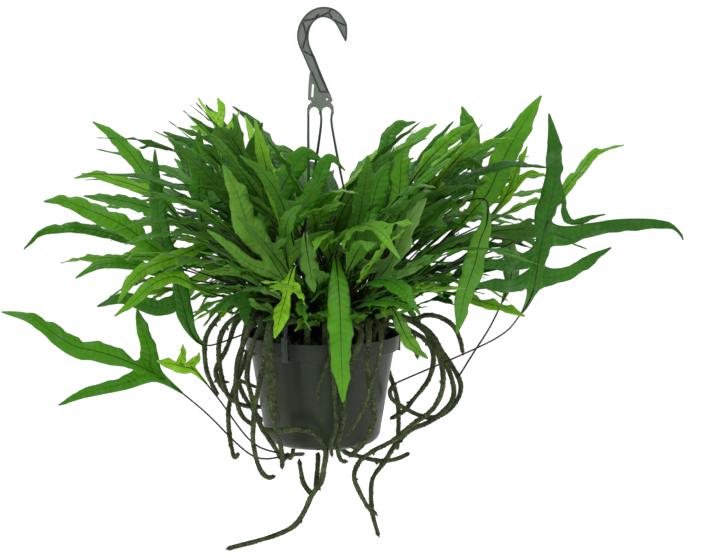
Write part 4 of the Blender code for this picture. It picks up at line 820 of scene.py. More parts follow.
def add_rule_lobes(frond, draw, counts):
    """Side lobes on one or both hands, lower ones longer, each drooping a little."""
    stations = draw.sample([(hand, k) for k in (0, 1, 2) for hand in (-1, 1)], draw.choice(counts))
    for hand, station in sorted(stations):
        start = frond.share_of(station)
        centre, along, side, _ = frond.midrib.frame(frond.fraction(start + 0.08))
        angle = radians(draw.uniform(34, 56))
        lead = along * cos(angle) + side * (hand * sin(angle))
        reach = frond.width * draw.uniform(2.4, 4.2) * (1 - 0.16 * station)
        droop = UP * -draw.uniform(0.05, 0.30)
        root = centre + side * (hand * frond.width * 0.5)
        points = [
            root + (lead * t + along * (0.20 * t * t) + droop * (t * t)) * reach for t in (0.40, 0.72, 1.0)
        ]
        frond.lobes.append(Lobe(hand, start, points, frond.width * draw.uniform(0.52, 0.72)))


def stays_in_outline(places):
    """Whether a frond's places keep to the foliage's outline and off the pot's front."""
    for place in places:
        if place.z < RIM_Z + BAND_HEIGHT and place.to_2d().length < RIM_RADIUS:
            continue
        column, row = square_of(place)
        above = outline_row(FOLIAGE_TOP, column)
        below = outline_row(FOLIAGE_BOTTOM, column)
        if above is None or not above - 1 <= row <= below + 2 or abs(place.y) > DEPTH_REACH:
            return False
    return True


def nearest_place(places, target):
    """A copy of the place that is nearest to the target."""
    return min(places, key=lambda p: (p - target).length).copy()


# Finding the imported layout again

CORNER_GAP = 0.02 * MM
END_CORNERS = 3 * RHIZOME_SIDES


class Packed:
    """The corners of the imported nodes, to tell which variant of a stem or frond was built."""

    def __init__(self):
        self.trees = {}
        for name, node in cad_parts.items():
            tree = self.trees[name] = KDTree(len(node.data.vertices))
            for i, corner in enumerate(node.data.vertices):
                tree.insert(corner.co, i)
            tree.balance()

    def has(self, node, places):
        """Whether at least half of the places are the node's corners; a fused piece may hide the rest."""
        found = [self.trees[node].find(p)[2] < CORNER_GAP for p in places]
        return 2 * sum(found) >= len(found)

    def first(self, tries, needed=True):
        """The node of the first (node, marks, what) try that was built, and what it is."""
        for node, marks, what in tries:
            if self.has(node, marks):
                return node, what
        if needed:
            raise RuntimeError("a piece of the layout isn't in the packed model")
        return None


def frond_marks(frond):
    """Corners of the frond's solid at and near its tip."""
    half = BLADE_THICKNESS / 2
    tip, _, _, face = frond.midrib.frame(1.0)
    marks = [tip + face * half]
    for hand in (-1, 1):
        place, face = frond.edge(frond.share_of(frond.segments - 1), hand)
        marks.append(place + face * half)
    return marks


def stem_tries(stem, courses):
    """Each try of a stem of the front view. A branch starts on its stem, and its root isn't turned."""
    branch = stem.angle is None
    for push, turn in RHIZOME_TRIES:
        if branch and turn:
            continue
        places = rhizome_places(stem, push * MM, turn)
        if branch:
            places[0] = nearest_place(courses[stem.name], places[0])
        yield stem.name, rhizome_marks(Course(places), stem.radius), places


def back_tries(name, *shape):
    """Each try of a stem at the back."""
    for push, turn in RHIZOME_TRIES:
        places = back_places(*shape, push * MM, turn)
        yield name, rhizome_marks(Course(places), RHIZOME_RADIUS), places


def hero_tries(hero, crowns, courses):
    """Each try of a frond that shows, on its stem or on one of the crowns nearest to it."""
    if hero.on:
        column, row = hero.stalk[0]
        root = nearest_place(courses[hero.on], seen(column, row, hero.depths[0]))
        tries = [(None, push, swing) for swing in HERO_SWINGS for push in HERO_PUSHES]
    else:
        base = seen(*hero.midrib[0], hero.depths[0])
        lean = Vector((base.x, base.y)) * 0.30
        lean = lean.normalized() * min(lean.length, 0.050)
        near = sorted(crowns, key=lambda c: (c.top.to_2d() - lean).length)[:NEAR_CROWNS]
        tries = [(crown, push, swing) for swing in HERO_SWINGS for push in HERO_PUSHES for crown in near]
    for crown, push, swing in tries:
        frond = hero_frond(hero, push * MM, crown.top if crown else root, swing)
        yield crown.name if crown else hero.on, frond_marks(frond), (frond, crown)


def crown_tries(made, count, number, crown):
    """Each try of a frond that a rule made for this crown."""
    for attempt in range(count):
        frond = made(number, attempt, crown)
        yield crown.name, frond_marks(frond), (frond, crown)


class Plant:
    """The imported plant: its stems, its crowns and its fronds, each with the node that holds it."""

    def __init__(self):
        self.packed = Packed()
        self.courses = {}
        self.stems = []
        for stem in RHIZOMES:
            self.keep_stem(stem_tries(stem, self.courses), stem.radius)
        for name, *shape in BACK_RHIZOMES:
            self.keep_stem(back_tries(name, *shape), RHIZOME_RADIUS)
        self.crowns = [Crown(number) for number in range(CROWN_COUNT)]
        self.fronds = []
        for hero in HEROES:
            self.keep_frond(hero_tries(hero, self.crowns, self.courses), hero.name)
        numbers = itertools.count(1)
        for round_number in range(FRONDS_PER_CROWN):
            for crown, number in zip(self.crowns, numbers):
                if crown.fronds <= round_number:
                    self.keep_frond(crown_tries(rule_frond, RULE_TRIES, number, crown), "")
        numbers = itertools.count(1)
        for least in LOW_CROWNS:
            for crown, number in zip(self.crowns, numbers):
                if crown.outward >= least:
                    self.keep_frond(crown_tries(low_frond, LOW_TRIES, number, crown), "low", needed=False)

    def keep_stem(self, tries, radius):
        node, places = self.packed.first(tries)
        course = Course(places)
        self.courses.setdefault(node, []).extend(course.points)
        self.stems.append((node, course, radius))

    def keep_frond(self, tries, name, needed=True):
        found = self.packed.first(tries, needed)
        if found:
            node, (frond, crown) = found
            if crown:
                crown.fronds += 1
            self.fronds.append((node, frond, name))


@functools.cache
def plant():
    """The plant, which is found only once."""
    return Plant()


# Small helpers

def finished(obj, slot, *nodes):
    """Put a finished piece in the object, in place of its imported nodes."""
    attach(obj, "root")
    if nodes:
        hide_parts(*nodes)


def painted(obj, *materials):
    """Give the object these materials and no others, with every face in the first."""
    obj.data.materials.clear()
    for material in materials:
        obj.data.materials.append(material)


def evaluated_mesh(obj):
    """The mesh that the object's modifiers make, in place of both."""
    graph = bpy.context.evaluated_depsgraph_get()
    mesh = bpy.data.meshes.new_from_object(obj.evaluated_get(graph))
    obj.modifiers.clear()
    obj.data = mesh
    return obj


def read_float(mesh, name):
    values = np.zeros(len(mesh.attributes[name].data), dtype=np.float32)
    mesh.attributes[name].data.foreach_get("value", values)
    return values


def read_vectors(collection, key, count):
    values = np.zeros(count * 3, dtype=np.float32)
    collection.foreach_get(key, values)
    return values.reshape(-1, 3)


def eased(share):
    """0 to 1 with soft ends."""
    share = min(max(share, 0.0), 1.0)
    return share * share * (3 - 2 * share)


# Materials

class Nodes:
    """A node tree, with short calls for its nodes."""

    def __init__(self, tree):
        self.tree = tree

    def node(self, kind, inputs=None, **settings):
        node = self.tree.nodes.new(kind)
        for key, value in settings.items():
            setattr(node, key, value)
        for key, value in (inputs or {}).items():
            self.set(node.inputs[key], value)
        return node

    def set(self, socket, value):
        """Link the socket to another or to a node's first one, or give it a plain value."""
        if isinstance(value, bpy.types.Node):
            value = value.outputs[0]
        if isinstance(value, bpy.types.NodeSocket):
            self.tree.links.new(value, socket)
        elif socket.type == "RGBA":
            socket.default_value = (*value, 1.0)
        else:
            socket.default_value = value

    def math(self, operation, a, b=0.0, c=0.0, clamp=False):
        return self.node("ShaderNodeMath", {0: a, 1: b, 2: c}, operation=operation, use_clamp=clamp)


class Shader(Nodes):
    """A material, with short calls for the patterns on it."""

    def __init__(self, name, **sockets):
        self.material = bpy.data.materials.new(name)
        self.material.use_nodes = True
        super().__init__(self.material.node_tree)
        self.finish(**sockets)

    def finish(self, **sockets):
        """The material, with these sockets of its surface linked or set."""
        for name, value in sockets.items():
            self.set(self.tree.nodes["Principled BSDF"].inputs[name.replace("_", " ")], value)
        return self.material

    def attribute(self, name):
        return self.node("ShaderNodeAttribute", attribute_name=name).outputs["Fac"]

    def noise(self, scale, detail=4.0, roughness=0.55, stretch=(1.0, 1.0, 1.0)):
        place = self.node("ShaderNodeTexCoord").outputs["Object"]
        place = self.node("ShaderNodeMapping", {"Vector": place, "Scale": stretch})
        return self.node("ShaderNodeTexNoise", {
            "Vector": place, "Scale": scale, "Detail": detail, "Roughness": roughness,
        })

    def ramp(self, value, *stops):
        """Colours or greys by the value, from (value, colour) stops."""
        ramp = self.node("ShaderNodeValToRGB", {"Fac": value})
        points = ramp.color_ramp.elements
        while len(points) < len(stops):
            points.new(0.5)
        for point, (position, colour) in zip(points, stops):
            point.position = position
            point.color = (*([colour] * 3 if isinstance(colour, float) else colour), 1.0)
        return ramp

    def rise(self, value, low, high):
        """0 below the low value and 1 above the high one."""
        return self.ramp(value, (low, 0.0), (high, 1.0))

    def mix(self, share, a, b):
        return self.node("ShaderNodeMix", {0: share, 6: a, 7: b}, data_type="RGBA").outputs[2]

    def cover(self, colour, top, where, amount):
        """The colour with this amount of another on it where the pattern is."""
        return self.mix(self.math("MULTIPLY", where, amount), colour, top)

    def bump(self, height, strength, distance, under=None):
        node = self.node("ShaderNodeBump", {"Strength": strength, "Distance": distance, "Height": height})
        if under:
            self.set(node.inputs["Normal"], under)
        return node


# Fronds

class Blades:
    """The sheet of the fronds of one node, in rows of quads, with what their material reads."""

    READS = ("across", "along", "tone", "grey", "chance", "ruffle")

    def __init__(self):
        self.places = []
        self.quads = []
        self.values = {name: [] for name in self.READS}

    def add(self, place, **values):
        self.places.append(place)
        for name, value in values.items():
            self.values[name].append(value)
        return len(self.places) - 1

    def bridge(self, lower, upper):
        self.quads += zip(lower, lower[1:], upper[1:], upper)


COLUMNS = (-1.0, -0.5, 0.0, 0.5, 1.0)
ROWS_PER_STATION = 4
LOBE_ROWS = (0.10, 0.22, 0.34, 0.47, 0.60, 0.72, 0.82, 0.91, 0.98)
MARGIN_WAVE = 0.030


def blade_point(frond, share, column):
    """The place on the blade at a column, from -1 at the left edge to 1 at the right."""
    hand = -1 if column < 0 else 1
    centre, _, _, face = frond.midrib.frame(frond.fraction(share))
    edge, _ = frond.edge(share, hand)
    out = abs(column)
    arch = frond.half_width(share, hand) * 0.16 * sin(pi * out)
    return centre.lerp(edge, out * (1 + uneven(share * 41, frond.phase + hand) * out)) + face * arch


def uneven(along, phase):
    """How much wider or narrower a blade is here than its smooth outline."""
    return 0.055 * sin(along + phase * 2) + 0.04 * sin(along * 1.7 - phase * 5)


def add_frond_blade(blades, frond, look):
    """The blade and its lobes, growing from the rows of the blade's edge."""
    rows = []
    last = (frond.segments - 1) * ROWS_PER_STATION
    blade_length = frond.midrib.length * (1 - frond.blade_from)
    stations = [k / ROWS_PER_STATION for k in range(last + 1)]
    stations += [frond.segments - 1 + t for t in (0.30, 0.56, 0.78, 0.93)]
    for station in stations:
        share = frond.share_of(station)
        row = []
        for column in COLUMNS:
            place = tip_point(frond, station, column)
            ruffle = share * blade_length / MARGIN_WAVE
            row.append(blades.add(place, across=column, along=share, ruffle=ruffle, **look))
        rows.append(row)
    stem_rows(blades, frond, look, rows)
    for lower, upper in zip(rows, rows[1:]):
        blades.bridge(lower, upper)
    for lobe in frond.lobes:
        low = root_station(frond, lobe) * ROWS_PER_STATION + frond.stem_rows
        side = [row[-1 if lobe.hand > 0 else 0] for row in rows[low:low + ROWS_PER_STATION + 1]]
        add_frond_lobe(blades, frond, lobe, side[::-1] if lobe.hand > 0 else side, look)


def tip_point(frond, station, column):
    """A place on the blade, drawn in to a long point past the last station."""
    last = frond.segments - 1
    if station <= last:
        return blade_point(frond, frond.share_of(station), column)
    t = station - last
    edge = blade_point(frond, frond.share_of(last), column)
    end, along, side, _ = frond.midrib.frame(1.0)
    end = end + along * 0.003 + side * (column * 0.0006)
    return edge.lerp(end, t)


def stem_rows(blades, frond, look, rows):
    """The narrow wings of the blade that run down the stalk."""
    added = []
    centre_half = frond.half_width(frond.share_of(0), 1)
    for down in (0.86, 0.93):
        centre, _, side, face = frond.midrib.frame(frond.blade_from * down)
        half = 0.0012 + (centre_half - 0.0012) * 0.5 * eased((down - 0.80) / 0.20)
        added.append([
            blades.add(centre + side * (column * half), across=column, along=0.0, ruffle=0.0, **look)
            for column in COLUMNS
        ])
    rows[:0] = added
    frond.stem_rows = len(added)


def add_frond_lobe(blades, frond, lobe, root, look):
    course = lobe_course(frond, lobe)
    corners = [blades.places[i] for i in root]
    previous = root
    for share in LOBE_ROWS:
        row = []
        joining = eased(share / LOBE_FREE)
        for i, column in enumerate(COLUMNS):
            hand = -1 if column < 0 else 1
            centre, along, side, face = course.frame(share)
            edge = lobe_edge(lobe, course, share, hand, frond.phase)
            if share > 0.95:
                edge = centre + along * 0.002 + side * (hand * 0.0006)
            out = abs(column) * (1 + uneven(share * 19, frond.phase - hand) * abs(column))
            place = centre.lerp(edge, out) + face * (0.05 * lobe.width * sin(pi * abs(column)))
            base = corners[i] + along * (share * course.length)
            place = base.lerp(place, joining)
            row.append(blades.add(place, across=column, along=0.15 + 0.85 * share,
                                  ruffle=share * course.length / MARGIN_WAVE + lobe.start * 7, **look))
        blades.bridge(previous, row)
        previous = row


def ruffled(obj, wave):
    """Move the sheet up and down along its margins."""
    mesh = obj.data
    count = len(mesh.vertices)
    places = read_vectors(mesh.vertices, "co", count)
    normals = read_vectors(mesh.vertex_normals, "vector", count)
    across = read_float(mesh, "across")
    along = read_float(mesh, "along")
    phase = read_float(mesh, "ruffle") * 2 * pi
    chance = read_float(mesh, "chance") * 40
    rise = np.sin(phase + chance + across * 0.9) + 0.45 * np.sin(phase * 2.17 + chance * 1.7 - across)
    fade = np.clip(along * 6, 0, 1) * np.clip((1 - along) * 5, 0, 1)
    lift = wave * rise * across ** 2 * fade
    places += normals * lift[:, None]
    mesh.vertices.foreach_set("co", places.reshape(-1))
    mesh.update()


TONES = {
    "small_lime_left": 1.0, "front_lime": 1.0, "top_left_light": 0.92, "left_light": 0.62,
    "left_light_low": 0.6, "front_light": 0.6, "right_top_light": 0.55, "right_light": 0.8,
    "right_low_pale": 0.7, "front_hanging": 0.5, "front_tongue": 0.46, "far_left": 0.36,
    "left_dark": 0.12, "top_left_dark": 0.02, "centre_broad": 0.3, "centre_left": 0.34, "centre_mid": 0.3,
    "right_centre": 0.46, "right_great": 0.1, "right_top": 0.25, "left_long": 0.45, "right_tall": 0.48,
    "right_tongue": 0.42, "left_upright": 0.35, "centre_upright": 0.22,
}
GREYS = {
    "front_grey": 1.0, "right_hidden": 0.5, "front_light": 0.45, "front_hanging": 0.5,
    "centre_upright": 0.25,
}
RULE_TONES = (0.08, 0.20, 0.30, 0.38, 0.48, 0.60)
# Mostly the deepest tones: painted shade on the small leaves inside the bush, with now and then a lime one.
INNER_TONES = (0.0, 0.0, 0.06, 0.12, 0.20, 0.34, 0.85)


def frond_look(number, name):
    """How light, how grey and how chance-toned a frond is."""
    draw = random.Random(number * 77 + 5)
    chance = draw.random()
    tones = INNER_TONES if name == "inner" else RULE_TONES
    tone = TONES.get(name, draw.choice(tones) + draw.uniform(-0.05, 0.05))
    return {"tone": tone, "grey": GREYS.get(name, 0.3 if draw.random() < 0.12 else 0.0), "chance": chance}


# Stalks, ribs and stems: lines with a radius at each point, made round by a node tree

class Lines:
    """Lines to be made round, with what the tube tree and the material read at each point."""

    def __init__(self, *reads):
        self.places = []
        self.edges = []
        self.values = {name: [] for name in ("radius", *reads)}

    def add(self, places, **values):
        start = len(self.places)
        self.places += places
        self.edges += [(start + i, start + i + 1) for i in range(len(places) - 1)]
        for name, row in values.items():
            self.values[name] += row

    def grown(self, name, tree, **inputs):
        """The object that the tree makes along the lines."""
        obj = mesh_object(name, self.places, [], self.edges, **self.values)
        tree.grow(obj, **inputs)
        obj.data.shade_smooth()
        return obj


class Grower(Nodes):
    """A geometry node tree with named inputs."""

    def __init__(self, name):
        super().__init__(bpy.data.node_groups.new(name, "GeometryNodeTree"))
        self.tree.is_modifier = True
        for way in ("INPUT", "OUTPUT"):
            self.tree.interface.new_socket("Geometry", in_out=way, socket_type="NodeSocketGeometry")
        self.start = self.node("NodeGroupInput")
        self.sockets = {}

    def input(self, name, kind, value=None):
        socket = self.tree.interface.new_socket(name, in_out="INPUT", socket_type="NodeSocket" + kind)
        if value is not None:
            socket.default_value = value
        self.sockets[name] = socket.identifier
        return self.start.outputs[name]

    def named(self, name, kind="FLOAT"):
        node = self.node("GeometryNodeInputNamedAttribute", {"Name": name}, data_type=kind)
        return node.outputs["Attribute"]

    def random(self, low, high, seed):
        """A number, or three, drawn anew for each point."""
        three = isinstance(low, tuple)
        first = 0 if three else 2
        node = self.node("FunctionNodeRandomValue", {first: low, first + 1: high, "Seed": seed},
                         data_type="FLOAT_VECTOR" if three else "FLOAT")
        return node.outputs[0 if three else 1]

    def tube(self, curves, sides):
        """Round bars along the curves, as thick as their radius says."""
        ring = self.node("GeometryNodeCurvePrimitiveCircle", {"Resolution": sides, "Radius": 1.0})
        return self.node("GeometryNodeCurveToMesh", {
            "Curve": curves, "Profile Curve": ring, "Scale": self.named("radius"), "Fill Caps": True,
        })

    def strewn(self, points, piece, turn, size):
        """The piece on every point."""
        shape = self.node("GeometryNodeObjectInfo", {"Object": piece}).outputs["Geometry"]
        return self.node("GeometryNodeInstanceOnPoints", {
            "Points": points, "Instance": shape, "Rotation": turn, "Scale": size,
        })

    def coloured(self, geometry, material):
        real = self.node("GeometryNodeRealizeInstances", {"Geometry": geometry})
        return self.node("GeometryNodeSetMaterial", {"Geometry": real, "Material": material})

    def together(self, *parts):
        both = self.node("GeometryNodeJoinGeometry")
        for part in parts:
            self.set(both.inputs[0], part)
        return both

    def finish(self, geometry):
        self.node("NodeGroupOutput", {"Geometry": geometry})
        return self

    def grow(self, obj, **values):
        """The object's mesh as the tree makes it, with these inputs."""
        step = obj.modifiers.new(self.tree.name, "NODES")
        step.node_group = self.tree
        for name, value in values.items():
            step[self.sockets[name.replace("_", " ")]] = value
        return evaluated_mesh(obj)


@functools.cache
def tube_tree():
    """Round bars along lines, as thick as the lines' radius says."""
    grower = Grower("Round bars")
    sides = grower.input("Sides", "Int", 6)
    material = grower.input("Material", "Material")
    curve = grower.node("GeometryNodeMeshToCurve", {"Mesh": grower.start})
    return grower.finish(grower.coloured(grower.tube(curve, sides), material))


def surface_tree(obj):
    """The object's faces, for finding the nearest place on them."""
    mesh = obj.data
    return BVHTree.FromPolygons([v.co for v in mesh.vertices], [tuple(p.vertices) for p in mesh.polygons])


def add_frond_lines(lines, frond, surface, number):
    """The stalk, the midrib and a rib up each lobe."""
    places = []
    radii = []
    browns = []
    stalk_steps = max(6, round(frond.blade_from * frond.midrib.length / 0.010))
    rib_steps = max(8, round((1 - frond.blade_from) * frond.midrib.length / 0.007))
    for k in range(stalk_steps):
        share = k / stalk_steps
        places.append(frond.midrib.point(frond.blade_from * share))
        radii.append(STALK_WIDTH / 2 * (1.08 - 0.20 * share))
        browns.append(1.0)
    for k in range(rib_steps + 1):
        share = k / rib_steps
        place = frond.midrib.point(frond.fraction(share))
        near = surface.find_nearest(place)[0]
        places.append(place.lerp(near, eased(share * 8)))
        radii.append(0.00066 * (1 - share) ** 0.8 + 0.00016)
        browns.append(1.0 - 0.9 * share)
    lines.add(places, radius=radii, brown=browns)
    for lobe in frond.lobes:
        course = lobe_course(frond, lobe)
        start = frond.midrib.point(frond.fraction(max(lobe.start - 0.10, 0.0)))
        rib = [start] + [course.point(t) for t in (0.0, 0.15, 0.3, 0.45, 0.6, 0.75, 0.9, 1.0)]
        rib = [surface.find_nearest(p)[0] for p in rib]
        count = len(rib) - 1
        lines.add(rib, radius=[0.00042 * (1 - i / count) + 0.00012 for i in range(count + 1)],
                  brown=[0.5 - 0.4 * i / count for i in range(count + 1)])


def leaf_node(name, fronds, materials, rounds=1):
    """The finished leaves and stalks of one node, the leaves subdivided so many rounds."""
    blades = Blades()
    for number, frond, look_name in fronds:
        add_frond_blade(blades, frond, frond_look(number, look_name))
    leaves = mesh_object(name + "_leaves", blades.places, blades.quads, **blades.values)
    painted(leaves, materials["upper"], materials["under"])
    step = leaves.modifiers.new("Smooth", "SUBSURF")
    step.levels = rounds
    step.render_levels = rounds
    evaluated_mesh(leaves)
    ruffled(leaves, bpy.context.scene.fern_plant.ruffle)
    surface = surface_tree(leaves)
    step = leaves.modifiers.new("Thickness", "SOLIDIFY")
    step.thickness = bpy.context.scene.fern_plant.blade
    step.offset = 0.0
    step.material_offset = 1
    step.material_offset_rim = 0
    evaluated_mesh(leaves)
    leaves.data.shade_smooth()
    lines = Lines("brown")
    for number, frond, _ in fronds:
        add_frond_lines(lines, frond, surface, number)
    return leaves, lines.grown(name + "_stalks", tube_tree(), Sides=6, Material=materials["stalk"])


def joined(first, *others):
    """One object of several meshes, with their materials."""
    with bpy.context.temp_override(active_object=first, object=first, selected_objects=[first, *others],
                                   selected_editable_objects=[first, *others]):
        bpy.ops.object.join()
    return first


# Stems

STEM_SHARE = 0.80


def stem_radius(base, share, place_along, phase):
    """The stem's radius, swollen and pinched along its length, thinner towards a blunt tip."""
    knobs = sin(place_along / 0.0055 + phase) + sin(place_along / 0.013 + phase * 2)
    return base * STEM_SHARE * (1.0 - 0.20 * share) * (1.0 + 0.05 * knobs)


def add_stem(lines, course, base, phase):
    count = max(8, round(course.length / 0.0035))
    places = []
    radii = []
    tips = []
    for k in range(count + 1):
        share = k / count
        places.append(course.point(share))
        left = (1 - share) * course.length
        blunt = sqrt(max(0.0, 1 - max(0.0, 1 - left / (base * 0.9)) ** 2))
        radii.append(max(stem_radius(base, share, share * course.length, phase) * max(blunt, 0.12), 0.0002))
        tips.append(max(0.0, 1 - left / 0.012))
    lines.add(places, radius=radii, tip=tips)


def add_nubs(lines, course, base, draw):
    """Short side buds, a few along each stem."""
    along = draw.uniform(0.03, 0.08)
    while along < course.length - 0.012:
        share = along / course.length
        place = course.point(share)
        ahead = course.direction(min(int(share * (len(course.points) - 1)), len(course.points) - 2))
        side = ahead.orthogonal().normalized()
        side.rotate(Matrix.Rotation(draw.uniform(0, 6.28), 3, ahead))
        lean = (side + ahead * 0.6).normalized()
        length = base * draw.uniform(1.1, 1.9)
        width = base * draw.uniform(0.30, 0.46)
        lines.add([place + lean * (length * t) for t in (0.3, 0.62, 0.85, 0.97, 1.0)],
                  radius=[width * 1.1, width, width * 0.82, width * 0.5, 0.0003],
                  tip=[0.0, 0.1, 0.3, 0.5, 0.5])
        along += draw.uniform(0.04, 0.10)


@functools.cache
def stem_tree():
    """Round stems with a knobbly surface, covered with small scales that lie along them."""
    grower = Grower("Scaly stems")
    sides = grower.input("Sides", "Int", 10)
    knob = grower.input("Knob height", "Float", 0.0006)
    density = grower.input("Scales per square metre", "Float", 60000.0)
    size = grower.input("Scale size", "Float", 1.0)
    flake = grower.input("Flake", "Object")
    bark = grower.input("Bark", "Material")
    scales = grower.input("Scales", "Material")
    curve = grower.node("GeometryNodeMeshToCurve", {"Mesh": grower.start})
    headed = grower.node("GeometryNodeStoreNamedAttribute", {
        "Geometry": curve, "Name": "heading", "Value": grower.node("GeometryNodeInputTangent"),
    }, data_type="FLOAT_VECTOR", domain="POINT")
    noise = grower.node("ShaderNodeTexNoise", {"Scale": 230.0, "Detail": 2.0})
    height = grower.math("MULTIPLY", grower.math("SUBTRACT", noise, 0.5), knob)
    push = grower.node("ShaderNodeVectorMath", {0: grower.node("GeometryNodeInputNormal"), "Scale": height},
                       operation="SCALE")
    moved = grower.node("GeometryNodeSetPosition", {"Geometry": grower.tube(headed, sides), "Offset": push})
    points = grower.node("GeometryNodeDistributePointsOnFaces", {
        "Mesh": moved, "Density": density, "Seed": 11,
    })
    turn = grower.node("FunctionNodeAxesToRotation", {
        "Primary Axis": points.outputs["Normal"], "Secondary Axis": grower.named("heading", "FLOAT_VECTOR"),
    }, primary_axis="Z", secondary_axis="X")
    scaled = grower.math("MULTIPLY", grower.random(0.6, 1.25, 4), size)
    placed = grower.strewn(points, flake, turn, scaled)
    return grower.finish(grower.together(grower.coloured(placed, scales), grower.coloured(moved, bark)))


def flake_object():
    """One scale of a stem: a small low pointed plate, lying along +X with its root sunk."""
    points = [(-0.6, -0.525, -0.3), (-0.6, 0.525, -0.3), (1.04, 0.75, 0.05), (2.6, 0.0, 0.65),
              (1.04, -0.75, 0.05), (0.65, 0.0, 0.55)]
    faces = [(0, 4, 5), (4, 3, 5), (3, 2, 5), (2, 1, 5), (1, 0, 5), (0, 1, 2, 3, 4)]
    return closed(mesh_object("flake", [Vector(point) * MM for point in points], faces))


# Pot

def rounded(points, radius, steps=4):
    """The outline with its inner corners rounded, by (x, z) points."""
    result = [points[0]]
    for before, corner, after in zip(points, points[1:], points[2:]):
        here = Vector(corner)
        back = Vector(before) - here
        ahead = Vector(after) - here
        cut = min(radius, back.length * 0.45, ahead.length * 0.45)
        start = here + back.normalized() * cut
        end = here + ahead.normalized() * cut
        for k in range(steps + 1):
            t = k / steps
            result.append(tuple(start * (1 - t) ** 2 + here * (2 * t * (1 - t)) + end * t * t))
    result.append(points[-1])
    return result


def pot_profile():
    shoulder_z = RIM_Z - BAND_HEIGHT
    foot_z = RIM_Z - POT_HEIGHT
    corner = arc((FOOT_RADIUS - FOOT_CORNER, foot_z + FOOT_CORNER), FOOT_CORNER, 0, -90, 10)
    inner_corner = arc((FOOT_RADIUS - FOOT_CORNER, foot_z + FOOT_CORNER), FOOT_CORNER - WALL, -90, 0, 8)
    outside = [
        (RIM_RADIUS - WALL * 1.6, RIM_Z - 0.006), (RIM_RADIUS - WALL, RIM_Z), (RIM_RADIUS, RIM_Z),
        (RIM_RADIUS - BAND_TAPER, shoulder_z), (SHOULDER_RADIUS + 0.0006, shoulder_z - 0.0006),
        (SHOULDER_RADIUS, shoulder_z - 0.004),
    ]
    body = [(corner[0][0] + (SHOULDER_RADIUS - corner[0][0]) * (1 - k / 12),
             corner[0][1] + (shoulder_z - 0.004 - corner[0][1]) * (1 - k / 12)) for k in range(1, 12)]
    inside = [
        (0.0, foot_z + WALL), *inner_corner, (SHOULDER_RADIUS - WALL, shoulder_z + WALL),
        (RIM_RADIUS - BAND_TAPER - WALL, shoulder_z + WALL + 0.001),
        (RIM_RADIUS - WALL * 1.6, RIM_Z - 0.006),
    ]
    return rounded(outside, 0.0008, 3) + body + corner + [(0.0, foot_z)] + inside


def pot_plastic():
    """Dark green plastic with dusty streaks and specks."""
    look = bpy.context.scene.fern_pot
    shader = Shader("pot_plastic", Specular_IOR_Level=0.30)
    cloud = shader.noise(15.0, 3.0, stretch=(1.0, 1.0, 0.12))
    colour = shader.mix(shader.rise(cloud, 0.38, 0.66), look.colour, look.dusty)
    specks = shader.rise(shader.noise(700.0, 2.0, 0.4), 0.64, 0.70)
    patch = shader.rise(shader.noise(20.0, 3.0), 0.50, 0.66)
    colour = shader.cover(colour, look.specks, shader.math("MULTIPLY", specks, patch), 0.45)
    streak = shader.rise(shader.noise(30.0, 4.0, stretch=(1.0, 1.0, 0.10)), 0.5, 0.8)
    colour = shader.cover(colour, look.dusty, streak, 0.45)
    fluted = shader.bump(shader.noise(30.0, 2.0, stretch=(1.0, 1.0, 0.05)), 0.45, 0.003)
    grain = shader.bump(shader.noise(900.0, 2.0), 0.12, 0.0003, fluted)
    rough = shader.ramp(cloud, (0.3, 0.30), (0.7, 0.48))
    return shader.finish(Base_Color=colour, Roughness=rough, Normal=grain)


class FERN_OT_pot(bpy.types.Operator):
    """Turn the pot: its rim band, its tapered body and its rounded foot"""

    bl_idname = "fern.pot"
    bl_label = "Pot"

    def execute(self, context):
        pot = turned("pot_shell", pot_profile(), context.scene.fern_pot.sides)
        cut(pot, [drain(number) for number in range(DRAIN_COUNT)])
        shaded(pot, 50)
        painted(pot, pot_plastic())
        finished(pot, "pot_plastic", "pot")
        return {"FINISHED"}


def cut(obj, cutters):
    """Take these solids out of the object, and drop them."""
    group = bpy.data.collections.new("cutters")
    bpy.context.scene.collection.children.link(group)
    for cutter in cutters:
        bpy.context.scene.collection.objects.unlink(cutter)
        group.objects.link(cutter)
    step = obj.modifiers.new("Cut", "BOOLEAN")
    step.operand_type = "COLLECTION"
    step.collection = group
    step.solver = "MANIFOLD"
    evaluated_mesh(obj)
    for cutter in cutters:
        bpy.data.objects.remove(cutter, do_unlink=True)
    bpy.data.collections.remove(group)


def drain(number):
    """A round bar through the floor where a drain hole goes."""
    place = clock_point(360 * number / DRAIN_COUNT + 30, DRAIN_RING, RIM_Z - POT_HEIGHT)
    ends = [place - UP * 0.003, place + UP * 0.006]
    return mesh_object("drain", *rod_shape(ends, [DRAIN_RADIUS] * 2, 24))


# Soil

@functools.cache
def crumb_tree():
    """Crumbs of potting mix strewn over the upper faces."""
    grower = Grower("Strewn crumbs")
    density = grower.input("Crumbs per square metre", "Float", 200000.0)
    crumb = grower.input("Crumb", "Object")
    material = grower.input("Material", "Material")
    split = grower.node("ShaderNodeSeparateXYZ", {0: grower.node("GeometryNodeInputNormal")})
    points = grower.node("GeometryNodeDistributePointsOnFaces", {
        "Mesh": grower.start, "Selection": grower.math("GREATER_THAN", split.outputs["Z"], 0.6),
        "Density": density, "Seed": 7,
    })
    turn = grower.random((0.0, 0.0, 0.0), (6.28, 6.28, 6.28), 8)
    placed = grower.strewn(points, crumb, turn, grower.random(0.35, 1.3, 9))
    return grower.finish(grower.coloured(grower.together(placed, grower.start), material))


def crumb_object():
    """A lump of potting mix about 3 mm across."""
    bm = bmesh.new()
    bmesh.ops.create_icosphere(bm, subdivisions=1, radius=1.5 * MM)
    draw = random.Random(3)
    for corner in bm.verts:
        corner.co *= draw.uniform(0.6, 1.25)
    crumb = linked("crumb", bpy.data.meshes.new("crumb"))
    bm.to_mesh(crumb.data)
    bm.free()
    return crumb


